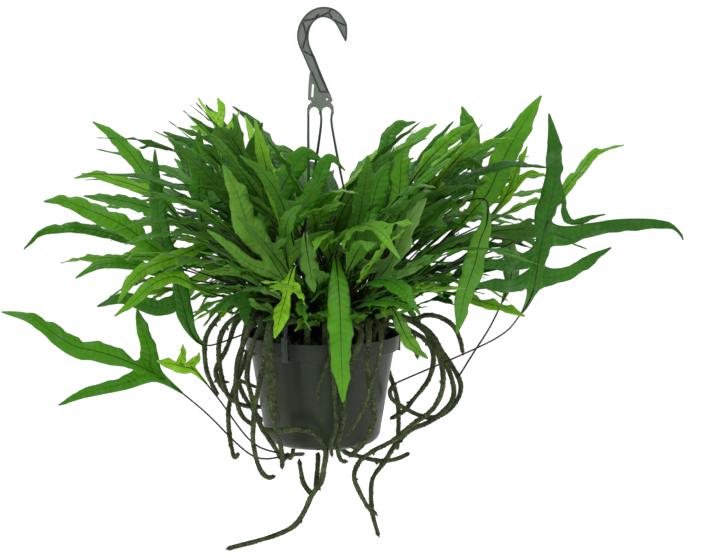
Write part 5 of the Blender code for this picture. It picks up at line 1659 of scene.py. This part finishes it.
def potting_mix():
    look = bpy.context.scene.fern_pot
    shader = Shader("potting_mix", Roughness=0.95, Specular_IOR_Level=0.2)
    cloud = shader.noise(160.0, 5.0, 0.7)
    colour = shader.ramp(cloud, (0.35, look.soil_dark), (0.55, look.soil), (0.75, look.soil_pale))
    return shader.finish(Base_Color=colour, Normal=shader.bump(shader.noise(700.0, 4.0), 0.5, 0.001))


class FERN_OT_soil(bpy.types.Operator):
    """Fill the pot with potting mix and strew crumbs over it"""

    bl_idname = "fern.soil"
    bl_label = "Soil"

    def execute(self, context):
        foot_z = RIM_Z - POT_HEIGHT
        corner = (FOOT_RADIUS - FOOT_CORNER, foot_z + FOOT_CORNER)
        rim = soil_height(SHOULDER_RADIUS)
        edge = pot_inside(rim) - SOIL_GAP
        radii = [edge * k / SOIL_RINGS for k in range(SOIL_RINGS - 1, -1, -1)]
        soil = turned("soil_fill", [
            (0.0, foot_z + WALL + SOIL_GAP), *arc(corner, FOOT_CORNER - WALL - SOIL_GAP, -90, 0, 5),
            (edge, rim), *((radius, soil_height(radius)) for radius in radii),
        ], 96)
        draw = random.Random(12)
        for place in (vertex.co for vertex in soil.data.vertices):
            if place.z > rim and place.to_2d().length < edge - 0.002:
                place.z += draw.uniform(-SOIL_BUMPS, SOIL_BUMPS)
        crumb = crumb_object()
        crumb_tree().grow(soil, Crumbs_per_square_metre=context.scene.fern_pot.crumbs, Crumb=crumb,
                          Material=potting_mix())
        bpy.data.objects.remove(crumb)
        soil.data.shade_smooth()
        finished(soil, "growing_medium", "soil")
        return {"FINISHED"}


# Hanger

def plate(name, outline, thickness, matrix=Matrix.Identity(4)):
    """A flat outline in X and Z with this thickness about Y."""
    bm = bmesh.new()
    ring = [bm.verts.new(matrix @ Vector((x, -thickness / 2, z))) for x, z in outline]
    grown = bmesh.ops.extrude_face_region(bm, geom=[bm.faces.new(ring)])
    normal = matrix.to_3x3() @ Vector((0, thickness, 0))
    for item in grown["geom"]:
        if isinstance(item, bmesh.types.BMVert):
            item.co += normal
    return closed(linked(name, bpy.data.meshes.new(name)), bm)


def hanger_plastic(name, colour):
    """Clear grey-green plastic, in one of its depths of colour: the paler and the darker copies are painted
    light and painted shade.
    """
    shader = Shader(name, IOR=1.49, Specular_IOR_Level=0.45)
    shade = shader.mix(shader.rise(shader.noise(60.0, 3.0), 0.3, 0.75), [0.8 * c for c in colour], colour)
    rough = shader.ramp(shader.noise(220.0, 3.0), (0.3, 0.24), (0.8, 0.42))
    grain = shader.bump(shader.noise(160.0, 2.0), 0.10, 0.0006)
    return shader.finish(Base_Color=shade, Roughness=rough, Normal=grain)


def strand_mesh(start, angle):
    """A strand from the head down to just above the rim, thin and slightly oval."""
    reach = RIM_RADIUS + 0.0016
    course = Course([
        Vector((start, 0.0, HEAD_TOP_Z - 0.004)), Vector((start, 0.0, HEAD_BOTTOM_Z)),
        clock_point(angle, reach * 0.40, (HEAD_BOTTOM_Z + RIM_Z) * 0.5 + 0.010),
        clock_point(angle, reach * 0.80, RIM_Z + 0.072), clock_point(angle, reach, RIM_Z + 0.002),
    ])
    facing = copysign(1.0, clock_point(angle, 1.0, 0.0).y)
    across = Vector((-facing, 0, 0))
    tangent = clock_point(angle + 90, 1.0, 0.0)
    rings = []
    for k in range(STRAND_STEPS + 1):
        share = k / STRAND_STEPS
        place = course.point(share)
        wide = across.lerp(tangent, min(share * 2.2, 1.0)).normalized()
        thick = wide.cross(UP).normalized()
        wide *= STRAND_WIDTH / 2 * min(0.62 + share * 0.9, 0.94)
        thick *= STRAND_THICKNESS / 2
        turns = [2 * pi * j / STRAND_SIDES for j in range(STRAND_SIDES)]
        rings.append([place + wide * cos(turn) + thick * sin(turn) for turn in turns])
    strand = closed(mesh_object("strand", *skin(rings)))
    strand.data.shade_smooth()
    return strand


def clip_mesh(angle):
    """The strand's end: over the rim, down the band and a toe under the shoulder."""
    outer = RIM_RADIUS + 0.0005
    low = outer - BAND_TAPER
    inner = RIM_RADIUS - BAND_TAPER - WALL - 0.0016
    shoulder_z = RIM_Z - BAND_HEIGHT
    profile = [
        (outer + 0.0024, RIM_Z + 0.008), (outer - 0.0006, RIM_Z + 0.008),
        (inner - 0.0022, RIM_Z + 0.0045), (inner - 0.0028, RIM_Z - 0.006),
        (inner - 0.0006, RIM_Z - 0.007), (inner, RIM_Z + 0.0005),
        (outer, RIM_Z + 0.0005), (low, shoulder_z - 0.0012),
        (low - 0.0045, shoulder_z - 0.0016), (low - 0.0045, shoulder_z - 0.0036),
        (low + 0.0020, shoulder_z - 0.0042), (low + 0.0020, shoulder_z + 0.004),
    ]
    turn = Matrix.Rotation(radians(angle - 90), 4, "Z")
    return bevelled(plate("clip", profile, CLIP_WIDTH, turn), 0.5 * MM)


def bevelled(obj, width):
    """Round the sharp edges to this width."""
    step = obj.modifiers.new("Edges", "BEVEL")
    step.width = width
    step.segments = 2
    step.limit_method = "ANGLE"
    step.angle_limit = radians(32)
    evaluated_mesh(obj)
    shaded(obj, 55)
    return obj


def shaded(obj, sharp):
    """Shade smooth, with edges past this angle in degrees left sharp."""
    obj.data.shade_smooth()
    obj.data.set_sharp_from_angle(angle=radians(sharp))


def inset_outline(outline, width):
    """The outline moved inwards by this width, corner by corner."""
    count = len(outline)
    area = sum(a[0] * b[1] - b[0] * a[1] for a, b in zip(outline, outline[1:] + outline[:1]))
    turn = 1 if area > 0 else -1
    moved = []
    for i, corner in enumerate(outline):
        here = Vector(corner)
        back = (here - Vector(outline[i - 1])).normalized()
        ahead = (Vector(outline[(i + 1) % count]) - here).normalized()
        inward = Vector((-(back + ahead).y, (back + ahead).x)) * turn
        inward = inward.normalized() / max(0.5, cos(back.angle(ahead) / 2))
        moved.append(tuple(here + inward * width))
    return moved


# Squares of the front view along the hanger's outlines
HOOK_OUTSIDE = (
    (345.1, 41.3), (346.9, 39.5), (347.2, 26.1), (345.1, 20.3), (340.7, 13.8), (334.9, 9.3), (329.1, 7.2),
    (322.6, 6.8), (316.1, 7.9), (309.6, 11.2), (303.8, 16.7), (299.4, 23.9), (297.2, 31.9), (297.2, 39.1),
    (299.1, 46.4), (303.0, 55.1), (309.2, 69.6), (314.6, 80.4), (319.3, 92.0),
)
HOOK_INSIDE = (
    (329.5, 92.6), (324.1, 79.7), (319.0, 67.4), (315.4, 58.0), (311.7, 50.0), (309.2, 42.8),
    (308.7, 36.2), (309.9, 29.0), (313.2, 22.8), (318.3, 18.5), (324.1, 17.4), (329.9, 19.0),
    (334.9, 22.8), (338.6, 29.0), (342.2, 36.2),
)
HOOK_RIBS = (
    ((303.0, 22.5), (306.3, 34.8), (302.7, 48.6)), ((303.8, 51.1), (314.6, 57.2)),
    ((303.8, 21.0), (315.0, 18.5), (329.1, 12.3), (330.6, 8.7)), ((329.5, 13.8), (332.0, 17.8)),
    ((314.0, 20.6), (308.6, 27.0), (307.4, 33.5)), ((315.4, 17.4), (319.0, 13.8)),
    ((332.8, 19.6), (345.4, 25.7)), ((311.9, 71.8), (320.2, 91.2)),
    ((307.4, 37.0), (308.6, 44.5), (312.8, 56.2), (320.0, 75.0), (327.4, 91.6)),
)
NECK_PLATE = (
    (309.6, 72.0), (308.4, 85.0), (307.8, 98.9), (308.6, 100.2), (310.7, 100.7), (311.6, 101.8),
    (310.6, 102.7), (308.3, 104.9), (307.3, 107.5), (307.0, 114.5), (309.4, 114.5), (309.6, 111.0),
    (311.2, 108.0), (314.2, 106.8), (317.2, 108.0), (318.8, 111.0), (319.0, 114.5), (321.5, 114.5),
    (321.8, 111.0), (323.4, 108.0), (326.6, 106.8), (329.8, 108.0), (331.4, 111.0), (331.7, 114.5),
    (334.0, 114.5), (333.7, 107.5), (332.8, 104.9), (330.8, 102.7), (331.5, 101.6), (332.8, 100.3),
    (330.0, 92.8), (322.0, 80.0), (314.0, 76.0),
)
NECK_SLOT = ((312.0, 84.2), (311.3, 97.0), (313.2, 97.2), (313.9, 84.4))
NECK_HOLE = (327.0, 99.3)
STRAND_TOPS = ((308.2, 110.0), (332.8, 110.0), (320.2, 110.0))


def in_plane(squares):
    """The places of the hanger's plane that show in these squares."""
    return [seen(column, row, 0.0) for column, row in squares]


def flat_places(squares):
    """Their (x, z) points."""
    return [(place.x, place.z) for place in in_plane(squares)]


def smoothed(squares):
    """The (x, z) points of a soft curve through these squares."""
    return [(place.x, place.z) for place in Course(in_plane(squares)).points[::3]]


def hook_mesh():
    """The hook: a flange all round and a thin web inside it, which has the second material."""
    outline = smoothed(HOOK_OUTSIDE) + smoothed(HOOK_INSIDE)
    inner = inset_outline(outline, bpy.context.scene.fern_hanger.flange)
    half = HOOK_THICKNESS / 2
    web = 0.9 * MM
    count = len(outline)
    bm = bmesh.new()
    rings = []
    for line, depth in ((outline, -half), (outline, half), (inner, half), (inner, web), (inner, -web),
                        (inner, -half)):
        rings.append([bm.verts.new((x, depth, z)) for x, z in line])
    for first, second in ((0, 1), (1, 2), (2, 3), (4, 5), (5, 0)):
        for i in range(count):
            n = (i + 1) % count
            bm.faces.new((rings[first][i], rings[first][n], rings[second][n], rings[second][i]))
    for ring in (rings[3], rings[4][::-1]):
        bm.faces.new(ring).material_index = 1
    return closed(linked("hook", bpy.data.meshes.new("hook")), bm)


def rib_bar(start, end, width):
    """A flat rib between two places of the hook's plane."""
    ahead = (end - start).normalized()
    side = Vector((-ahead.z, 0, ahead.x)) * (width / 2)
    outline = [(p.x, p.z) for p in (start - side, end - side, end + side, start + side)]
    return plate("rib", outline, HOOK_THICKNESS * 0.66)


def neck_mesh():
    """The plate under the hook, with its slot, its round hole and the two arches between the strands."""
    neck = plate("neck", flat_places(NECK_PLATE), 3.4 * MM)
    slot = plate("slot", flat_places(NECK_SLOT), 9 * MM)
    middle = seen(*NECK_HOLE, 0.0)
    reach = Vector((0, 0.005, 0))
    hole = mesh_object("hole", *rod_shape([middle - reach, middle + reach], [1.3 * MM] * 2, 16))
    cut(neck, [slot, hole])
    return bevelled(neck, 0.4 * MM)


class FERN_OT_hanger(bpy.types.Operator):
    """Mould the hanger: ribbed hook, neck plate, three strands and their clips"""

    bl_idname = "fern.hanger"
    bl_label = "Hanger"

    def execute(self, context):
        look = context.scene.fern_hanger
        edges = hanger_plastic("hanger_plastic", look.colour)
        # Paler copy for the web and the neck plate: painted light, the backdrop's brightness seen through
        # thin plastic.
        clear = hanger_plastic("hanger_clear", look.pale)
        # Darker copy for the ribs: painted shade, where the ribs' edges show dark through the clear
        # plastic.
        dark = hanger_plastic("hanger_ribs", look.dark)
        hook = hook_mesh()
        for material in (edges, clear):
            hook.data.materials.append(material)
        bevelled(hook, 0.4 * MM)
        ribs = []
        for line in map(in_plane, HOOK_RIBS):
            ribs += [rib_bar(start, end, look.rib) for start, end in zip(line, line[1:])]
        neck = neck_mesh()
        strands = []
        for angle, top in zip(STRAND_ANGLES, in_plane(STRAND_TOPS)):
            strands += [strand_mesh(top.x, angle), clip_mesh(angle)]
        for material, pieces in ((dark, ribs), (clear, [neck]), (edges, strands)):
            for piece in pieces:
                painted(piece, material)
        hanger = joined(hook, neck, *ribs, *strands)
        hanger.name = "hanger_moulding"
        finished(hanger, "hanger_plastic", "hanger")
        return {"FINISHED"}


# Materials of the plant

def leaf_colour(shader, look):
    """Green from deep to lime by the frond's tone, with soft patches, or greyer."""
    shift = shader.math("MULTIPLY_ADD", shader.noise(14.0, 4.0), 0.44, -0.22)
    tone = shader.math("ADD", shader.attribute("tone"), shift, clamp=True)
    green = shader.ramp(tone, (0.0, look.deep), (0.38, look.mid), (1.0, look.lime))
    return shader.mix(shader.attribute("grey"), green, look.grey)


def leaf_veins(shader, across):
    """Up to 1 on the side veins that slant from the midrib to the margin, down to 0 between them."""
    count = shader.math("MULTIPLY", shader.attribute("ruffle"), 3.4)
    turns = shader.math("SUBTRACT", count, shader.math("MULTIPLY", across, 0.55))
    wave = shader.math("SINE", shader.math("MULTIPLY", turns, 6.2832))
    return shader.math("MULTIPLY_ADD", wave, 0.5, 0.5)


def leaf_skin(name, look, under):
    """The upper or the under side of a blade, with its veins, its midrib and patches of painted sheen."""
    shader = Shader(name, Specular_IOR_Level=0.17, Sheen_Roughness=0.45,
                    Sheen_Weight=0.0 if under else look.gloss)
    across = shader.math("ABSOLUTE", shader.attribute("across"))
    swell = leaf_veins(shader, across)
    colour = leaf_colour(shader, look)
    if under:
        colour = shader.mix(0.45, colour, look.under)
    colour = shader.cover(colour, look.vein, shader.rise(swell, 0.80, 1.0), 0.10)
    # Pale grey-green patches by noise: painted sheen, highlights painted into the blade's colour.
    colour = shader.cover(colour, look.painted_sheen, shader.rise(shader.noise(24.0, 3.0, 0.6), 0.56, 0.74), 0.26)
    colour = shader.cover(colour, look.vein, shader.rise(across, 0.90, 1.0), 0.30)
    colour = shader.cover(colour, look.rib, shader.ramp(across, (0.0, 1.0), (0.09, 0.0)), 0.55)
    least, most = (0.62, 0.75) if under else (0.32, 0.50)
    rough = shader.ramp(shader.noise(60.0, 3.0), (0.3, least), (0.75, most))
    raised = shader.bump(swell, 0.34, 0.0016, shader.bump(shader.noise(70.0, 2.0), 0.36, 0.0020))
    return shader.finish(Base_Color=colour, Roughness=rough, Normal=raised)


def stalk_skin(look):
    """Near black on the stalk with flecks of painted highlight, greener along the midrib."""
    shader = Shader("stalk", Roughness=0.5, Specular_IOR_Level=0.18)
    speck = shader.noise(400.0, 3.0)
    # The paler flecks are painted highlights.
    dark = shader.ramp(speck, (0.35, look.stalk), (0.75, look.stalk_highlight))
    colour = shader.mix(shader.rise(shader.attribute("brown"), 0.25, 0.85), look.rib, dark)
    return shader.finish(Base_Color=colour, Normal=shader.bump(speck, 0.2, 0.0004))


def stem_bark(look):
    """Brown-green bark with pale and dark specks, red-brown at a growing tip."""
    shader = Shader("rhizome_bark", Roughness=0.7, Specular_IOR_Level=0.25)
    cloud = shader.noise(55.0, 5.0, 0.6)
    colour = shader.ramp(cloud, (0.30, look.bark_dark), (0.52, look.bark), (0.74, look.bark_green))
    grain = shader.noise(560.0, 3.0, 0.5)
    colour = shader.cover(colour, look.speck, shader.rise(grain, 0.58, 0.66), 0.75)
    dark = shader.ramp(shader.noise(380.0, 3.0, 0.5), (0.34, 1.0), (0.44, 0.0))
    colour = shader.cover(colour, look.scale_dark, dark, 0.8)
    colour = shader.mix(shader.rise(shader.attribute("tip"), 0.1, 0.9), colour, look.tip)
    return shader.finish(Base_Color=colour, Normal=shader.bump(grain, 0.6, 0.0008))


def stem_scales(look):
    shader = Shader("rhizome_scales", Roughness=0.85, Specular_IOR_Level=0.2)
    cloud = shader.noise(300.0, 3.0)
    colour = shader.ramp(cloud, (0.35, look.scale_dark), (0.55, look.scale), (0.72, look.bark))
    return shader.finish(Base_Color=colour, Normal=shader.bump(cloud, 0.3, 0.0003))


# Small leaves inside the bush

INNER_TRIES = 40
INNER_GROUP = 24


def inner_frond(number, attempt, crown):
    """A frond that fills the bush: every third one tall, the others small and low."""
    draw = random.Random(number * 1021 + attempt)
    azimuth = radians(draw.uniform(0, 360))
    if number % 3:
        rise, fall = draw.uniform(30, 84), draw.uniform(-65, 40)
        length, width = draw.uniform(0.11, 0.31), draw.uniform(0.010, 0.020)
    else:
        rise, fall = draw.uniform(58, 86), draw.uniform(-5, 62)
        length, width = draw.uniform(0.29, 0.44), draw.uniform(0.013, 0.024)
    frond = laid_frond(crown, azimuth, draw.uniform(-0.8, 0.8), radians(rise), radians(fall),
                       length, draw.uniform(0.30, 0.52), 8, RULE_SEGMENTS, width, draw)
    add_rule_lobes(frond, draw, (0, 0, 1, 2, 2, 3, 4))
    return frond


def packed_surface():
    """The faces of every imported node, which the small leaves keep clear of."""
    places = []
    faces = []
    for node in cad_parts.values():
        start = len(places)
        places += [corner.co.copy() for corner in node.data.vertices]
        faces += [tuple(start + i for i in face.vertices) for face in node.data.polygons]
    return BVHTree.FromPolygons(places, faces)


def inner_fronds(rounds):
    """Small fronds on every crown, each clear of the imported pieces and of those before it."""
    taken = [packed_surface()]
    kept = []
    number = 0
    for _ in range(rounds):
        for crown in plant().crowns:
            number += 1
            for attempt in range(INNER_TRIES):
                frond = inner_frond(number, attempt, crown)
                blades = Blades()
                add_frond_blade(blades, frond, frond_look(number, "inner"))
                if not stays_in_outline(blades.places):
                    continue
                sheet = BVHTree.FromPolygons(blades.places, blades.quads)
                if any(sheet.overlap(other) for other in taken):
                    continue
                taken.append(sheet)
                kept.append((number, frond, "inner"))
                break
    return kept


class FERN_OT_stems(bpy.types.Operator):
    """Grow the hanging stems with their buds and scales"""

    bl_idname = "fern.stems"
    bl_label = "Stems"

    def execute(self, context):
        look = context.scene.fern_plant
        bark = stem_bark(look)
        scales = stem_scales(look)
        flake = flake_object()
        groups = {}
        for number, (node, course, radius) in enumerate(plant().stems):
            lines = groups.setdefault(node, Lines("tip"))
            add_stem(lines, course, radius, number * 1.7)
            add_nubs(lines, course, radius, random.Random(number + 40))
        for node, lines in groups.items():
            stem = lines.grown(node + "_stem", stem_tree(), Sides=look.stem_sides, Flake=flake, Bark=bark,
                               Scales=scales, Scales_per_square_metre=look.scale_density)
            finished(stem, "rhizome", node)
        bpy.data.objects.remove(flake)
        return {"FINISHED"}


class FERN_OT_fronds(bpy.types.Operator):
    """Grow every frond on its own stalk, clump by clump"""

    bl_idname = "fern.fronds"
    bl_label = "Fronds"

    def execute(self, context):
        look = context.scene.fern_plant
        materials = {
            "upper": leaf_skin("leaf_upper", look, False),
            "under": leaf_skin("leaf_under", look, True),
            "stalk": stalk_skin(look),
        }
        bark = stem_bark(look)
        groups = {}
        for number, (node, frond, name) in enumerate(plant().fronds):
            groups.setdefault(node, []).append((number, frond, name))
        crowns = {crown.name: crown for crown in plant().crowns}
        for node, fronds in groups.items():
            leaves = joined(*leaf_node(node, fronds, materials))
            if node in crowns:
                joined(leaves, crown_object(crowns[node], bark))
            finished(leaves, "frond", *([node] if node in crowns else []))
        small = inner_fronds(look.inner_rounds)
        for start in range(0, len(small), INNER_GROUP):
            name = f"inner_leaves_{start // INNER_GROUP + 1}"
            leaves = joined(*leaf_node(name, small[start:start + INNER_GROUP], materials, 0))
            finished(leaves, "frond")
        return {"FINISHED"}


def crown_object(crown, material):
    """The knob of rhizome in the soil that a clump's stalks rise from."""
    lines = Lines()
    foot = crown.soil - UP * (HOLE_DEPTH - 0.0005)
    radii = [CROWN_RADIUS * (1.0 + 0.08 * sin(k * 1.9)) for k in range(12)]
    radii += [CROWN_RADIUS * 0.85, CROWN_RADIUS * 0.4]
    lines.add([foot + UP * (0.0025 * k) for k in range(len(radii))], radius=radii)
    return lines.grown("crown", tube_tree(), Sides=10, Material=material)


# Stage

PLANT_MIDDLE = Vector((0.0, 0.0, -0.33))
BACKDROP_SIDES = 72
FLOOR_RADII = (1.0, 2.5, 5.0)
SWEEP_RADIUS = 2.0
WALL_TOP = 4.5


def light(name, place, size, power):
    """A square lamp that points at the middle of the plant."""
    lamp = bpy.data.lights.new(name, "AREA")
    lamp.shape = "SQUARE"
    lamp.size = size
    lamp.energy = power
    obj = linked(name, lamp)
    obj.location = place
    obj.rotation_euler = (PLANT_MIDDLE - Vector(place)).to_track_quat("-Z", "Y").to_euler()


def backdrop(look):
    """A round floor that sweeps up into a wall all the way round."""
    flat = FLOOR_RADII[-1]
    profile = [(radius, 0.0) for radius in FLOOR_RADII]
    profile += arc((flat, SWEEP_RADIUS), SWEEP_RADIUS, -80, 0, 8)
    profile += [(flat + SWEEP_RADIUS, WALL_TOP)]
    rings = [
        [clock_point(360 * k / BACKDROP_SIDES, radius, look.floor + height) for k in range(BACKDROP_SIDES)]
        for radius, height in profile
    ]
    floor = mesh_object("backdrop", *skin(rings, caps=1))
    floor.data.shade_smooth()
    painted(floor, Shader("backdrop", Roughness=0.9, Base_Color=(0.86, 0.86, 0.86),
                          Emission_Color=(1.0, 1.0, 1.0), Emission_Strength=look.glow).material)


class FERN_OT_stage(bpy.types.Operator):
    """Set the backdrop, the studio lights and the camera"""

    bl_idname = "fern.stage"
    bl_label = "Stage"

    def execute(self, context):
        scene = context.scene
        look = scene.fern_stage
        backdrop(look)
        light("key", (-1.2, -1.9, 1.7), 1.6, look.key)
        light("fill", (1.9, -1.6, 0.4), 1.8, look.fill)
        light("top", (0.2, 0.5, 2.1), 1.6, look.top)
        world = bpy.data.worlds.new("studio")
        world.use_nodes = True
        around = world.node_tree.nodes["Background"].inputs
        around["Color"].default_value = (1.0, 1.0, 1.0, 1.0)
        around["Strength"].default_value = look.ambient
        scene.world = world
        scene.view_settings.view_transform = "Standard"
        lens = bpy.data.cameras.new("view")
        lens.lens = VIEW_LENGTH / (2 * VIEW_MIDDLE[0]) * lens.sensor_width
        scene.camera = linked("view", lens)
        scene.camera.location = EYE
        scene.camera.rotation_euler = (radians(90) - EYE_TILT, 0.0, 0.0)
        return {"FINISHED"}


# Settings

def colour(name, description, *default):
    return bpy.props.FloatVectorProperty(name=name, description=description, subtype="COLOR", size=3,
                                         min=0.0, max=1.0, default=default)


def number(name, description, default, **more):
    return bpy.props.FloatProperty(name=name, description=description, default=default, min=0.0, **more)


def length(name, description, millimetres):
    return bpy.props.FloatProperty(name=name, description=description, default=millimetres * MM,
                                   unit="LENGTH")


def whole(name, description, default, least):
    return bpy.props.IntProperty(name=name, description=description, default=default, min=least)


class FernPot(bpy.types.PropertyGroup):
    """Sizes and colours of the pot and its soil."""

    sides: whole("Sides", "Facets round the pot", 128, 16)
    colour: colour("Plastic", "Colour of the clean plastic", 0.007, 0.014, 0.005)
    dusty: colour("Dust", "Colour where the plastic is dusty", 0.018, 0.033, 0.013)
    specks: colour("Specks", "Colour of the specks on the plastic", 0.20, 0.25, 0.19)
    soil: colour("Soil", "Colour of the potting mix", 0.030, 0.021, 0.014)
    soil_dark: colour("Dark soil", "Colour of its hollows", 0.008, 0.006, 0.004)
    soil_pale: colour("Pale soil", "Colour of its driest grains", 0.09, 0.065, 0.04)
    crumbs: number("Crumbs", "Crumbs on a square metre of soil", 130000.0)


class FernHanger(bpy.types.PropertyGroup):
    """Sizes and colours of the hanger."""

    rib: length("Rib width", "Width of the ribs in the hook's web", 1.7)
    flange: length("Flange width", "Width of the hook's raised edge", 1.8)
    colour: colour("Plastic", "Colour of the hanger's plastic", 0.036, 0.058, 0.042)
    # Painted light: the backdrop's brightness seen through the thin clear plastic.
    pale: colour("Clear plastic", "Colour where the plastic is thin", 0.190, 0.220, 0.185)
    # Painted shade: the ribs' edges look dark through the clear plastic.
    dark: colour("Ribs", "Colour of the ribs seen through the plastic", 0.010, 0.020, 0.013)


class FernPlant(bpy.types.PropertyGroup):
    """Sizes and colours of the fern."""

    blade: length("Blade thickness", "Thickness of a frond's blade", 0.55)
    ruffle: length("Ruffle", "How far a margin waves up and down", 1.7)
    inner_rounds: whole("Inner leaves", "Inner leaves tried on each crown", 9, 0)
    stem_sides: whole("Stem sides", "Facets round a stem", 10, 5)
    scale_density: number("Scales", "Scales on a square metre of stem", 70000.0)
    gloss: number("Sheen", "Soft sheen of the upper side", 0.02, max=1.0, subtype="FACTOR")
    # The deep green also serves as painted shade on the small leaves inside the bush.
    deep: colour("Deep green", "Colour of the oldest fronds", 0.010, 0.080, 0.002)
    mid: colour("Green", "Colour of most fronds", 0.052, 0.235, 0.005)
    lime: colour("Lime", "Colour of young fronds", 0.230, 0.530, 0.014)
    grey: colour("Grey green", "Colour of the matt fronds", 0.130, 0.270, 0.055)
    under: colour("Underside", "Colour of the undersides", 0.095, 0.250, 0.024)
    vein: colour("Side veins", "Colour of the side veins", 0.100, 0.310, 0.012)
    # Colour of the painted sheen: highlight patches painted on the blades.
    painted_sheen: colour("Wax", "Colour of the waxy sheen in patches on a blade", 0.200, 0.330, 0.170)
    rib: colour("Midrib", "Colour of the midrib near the tip", 0.018, 0.065, 0.006)
    stalk: colour("Stalk", "Colour of the stalks", 0.006, 0.004, 0.003)
    # Colour of the painted highlight flecks on the stalks.
    stalk_highlight: colour("Pale stalk", "Colour of the stalks' specks", 0.034, 0.020, 0.012)
    bark: colour("Stem", "Colour of the stems", 0.040, 0.066, 0.020)
    bark_dark: colour("Dark stem", "Colour of old stem", 0.010, 0.020, 0.007)
    bark_green: colour("Green stem", "Colour of young stem", 0.078, 0.125, 0.030)
    speck: colour("Pale specks", "Colour of the fine scales that dot a stem", 0.190, 0.240, 0.065)
    tip: colour("Growing tip", "Colour of the stems' tips", 0.060, 0.026, 0.017)
    scale: colour("Scales", "Colour of the stems' scales", 0.055, 0.058, 0.022)
    scale_dark: colour("Dark scales", "Colour of old scales", 0.012, 0.012, 0.006)


class FernStage(bpy.types.PropertyGroup):
    """Lights and floor of the studio."""

    floor: length("Floor", "Height of the floor", -1050.0)
    key: number("Key light", "Power of the key light in watts", 20.0)
    fill: number("Fill light", "Power of the fill light in watts", 5.0)
    top: number("Top light", "Power of the top light in watts", 34.0)
    ambient: number("Ambient", "Strength of the light all round", 0.32)
    glow: number("Glow", "Light that the backdrop gives off", 0.43)


PIECES = (FERN_OT_pot, FERN_OT_soil, FERN_OT_hanger, FERN_OT_stems, FERN_OT_fronds, FERN_OT_stage)
GROUPS = {"fern_pot": FernPot, "fern_hanger": FernHanger, "fern_plant": FernPlant, "fern_stage": FernStage}


class FERN_PT_panel(bpy.types.Panel):
    """Lists the fern's pieces and their settings"""

    bl_idname = "FERN_PT_panel"
    bl_label = "Hanging Fern"
    bl_space_type = "VIEW_3D"
    bl_region_type = "UI"
    bl_category = "Fern"

    def draw(self, context):
        for name, group in GROUPS.items():
            box = self.layout.box()
            for key in group.__annotations__:
                box.prop(getattr(context.scene, name), key)
        for operator in PIECES:
            self.layout.operator(operator.bl_idname)


def register():
    for cls in (*GROUPS.values(), *PIECES, FERN_PT_panel):
        bpy.utils.register_class(cls)
    for name, group in GROUPS.items():
        setattr(bpy.types.Scene, name, bpy.props.PointerProperty(type=group))


def unregister():
    for name in GROUPS:
        delattr(bpy.types.Scene, name)
    for cls in reversed((*GROUPS.values(), *PIECES, FERN_PT_panel)):
        bpy.utils.unregister_class(cls)


def main():
    register()
    bpy.ops.fern.pot()
    bpy.ops.fern.soil()
    bpy.ops.fern.hanger()
    bpy.ops.fern.stems()
    bpy.ops.fern.fronds()
    bpy.ops.fern.stage()


if __name__ == "__main__":
    main()
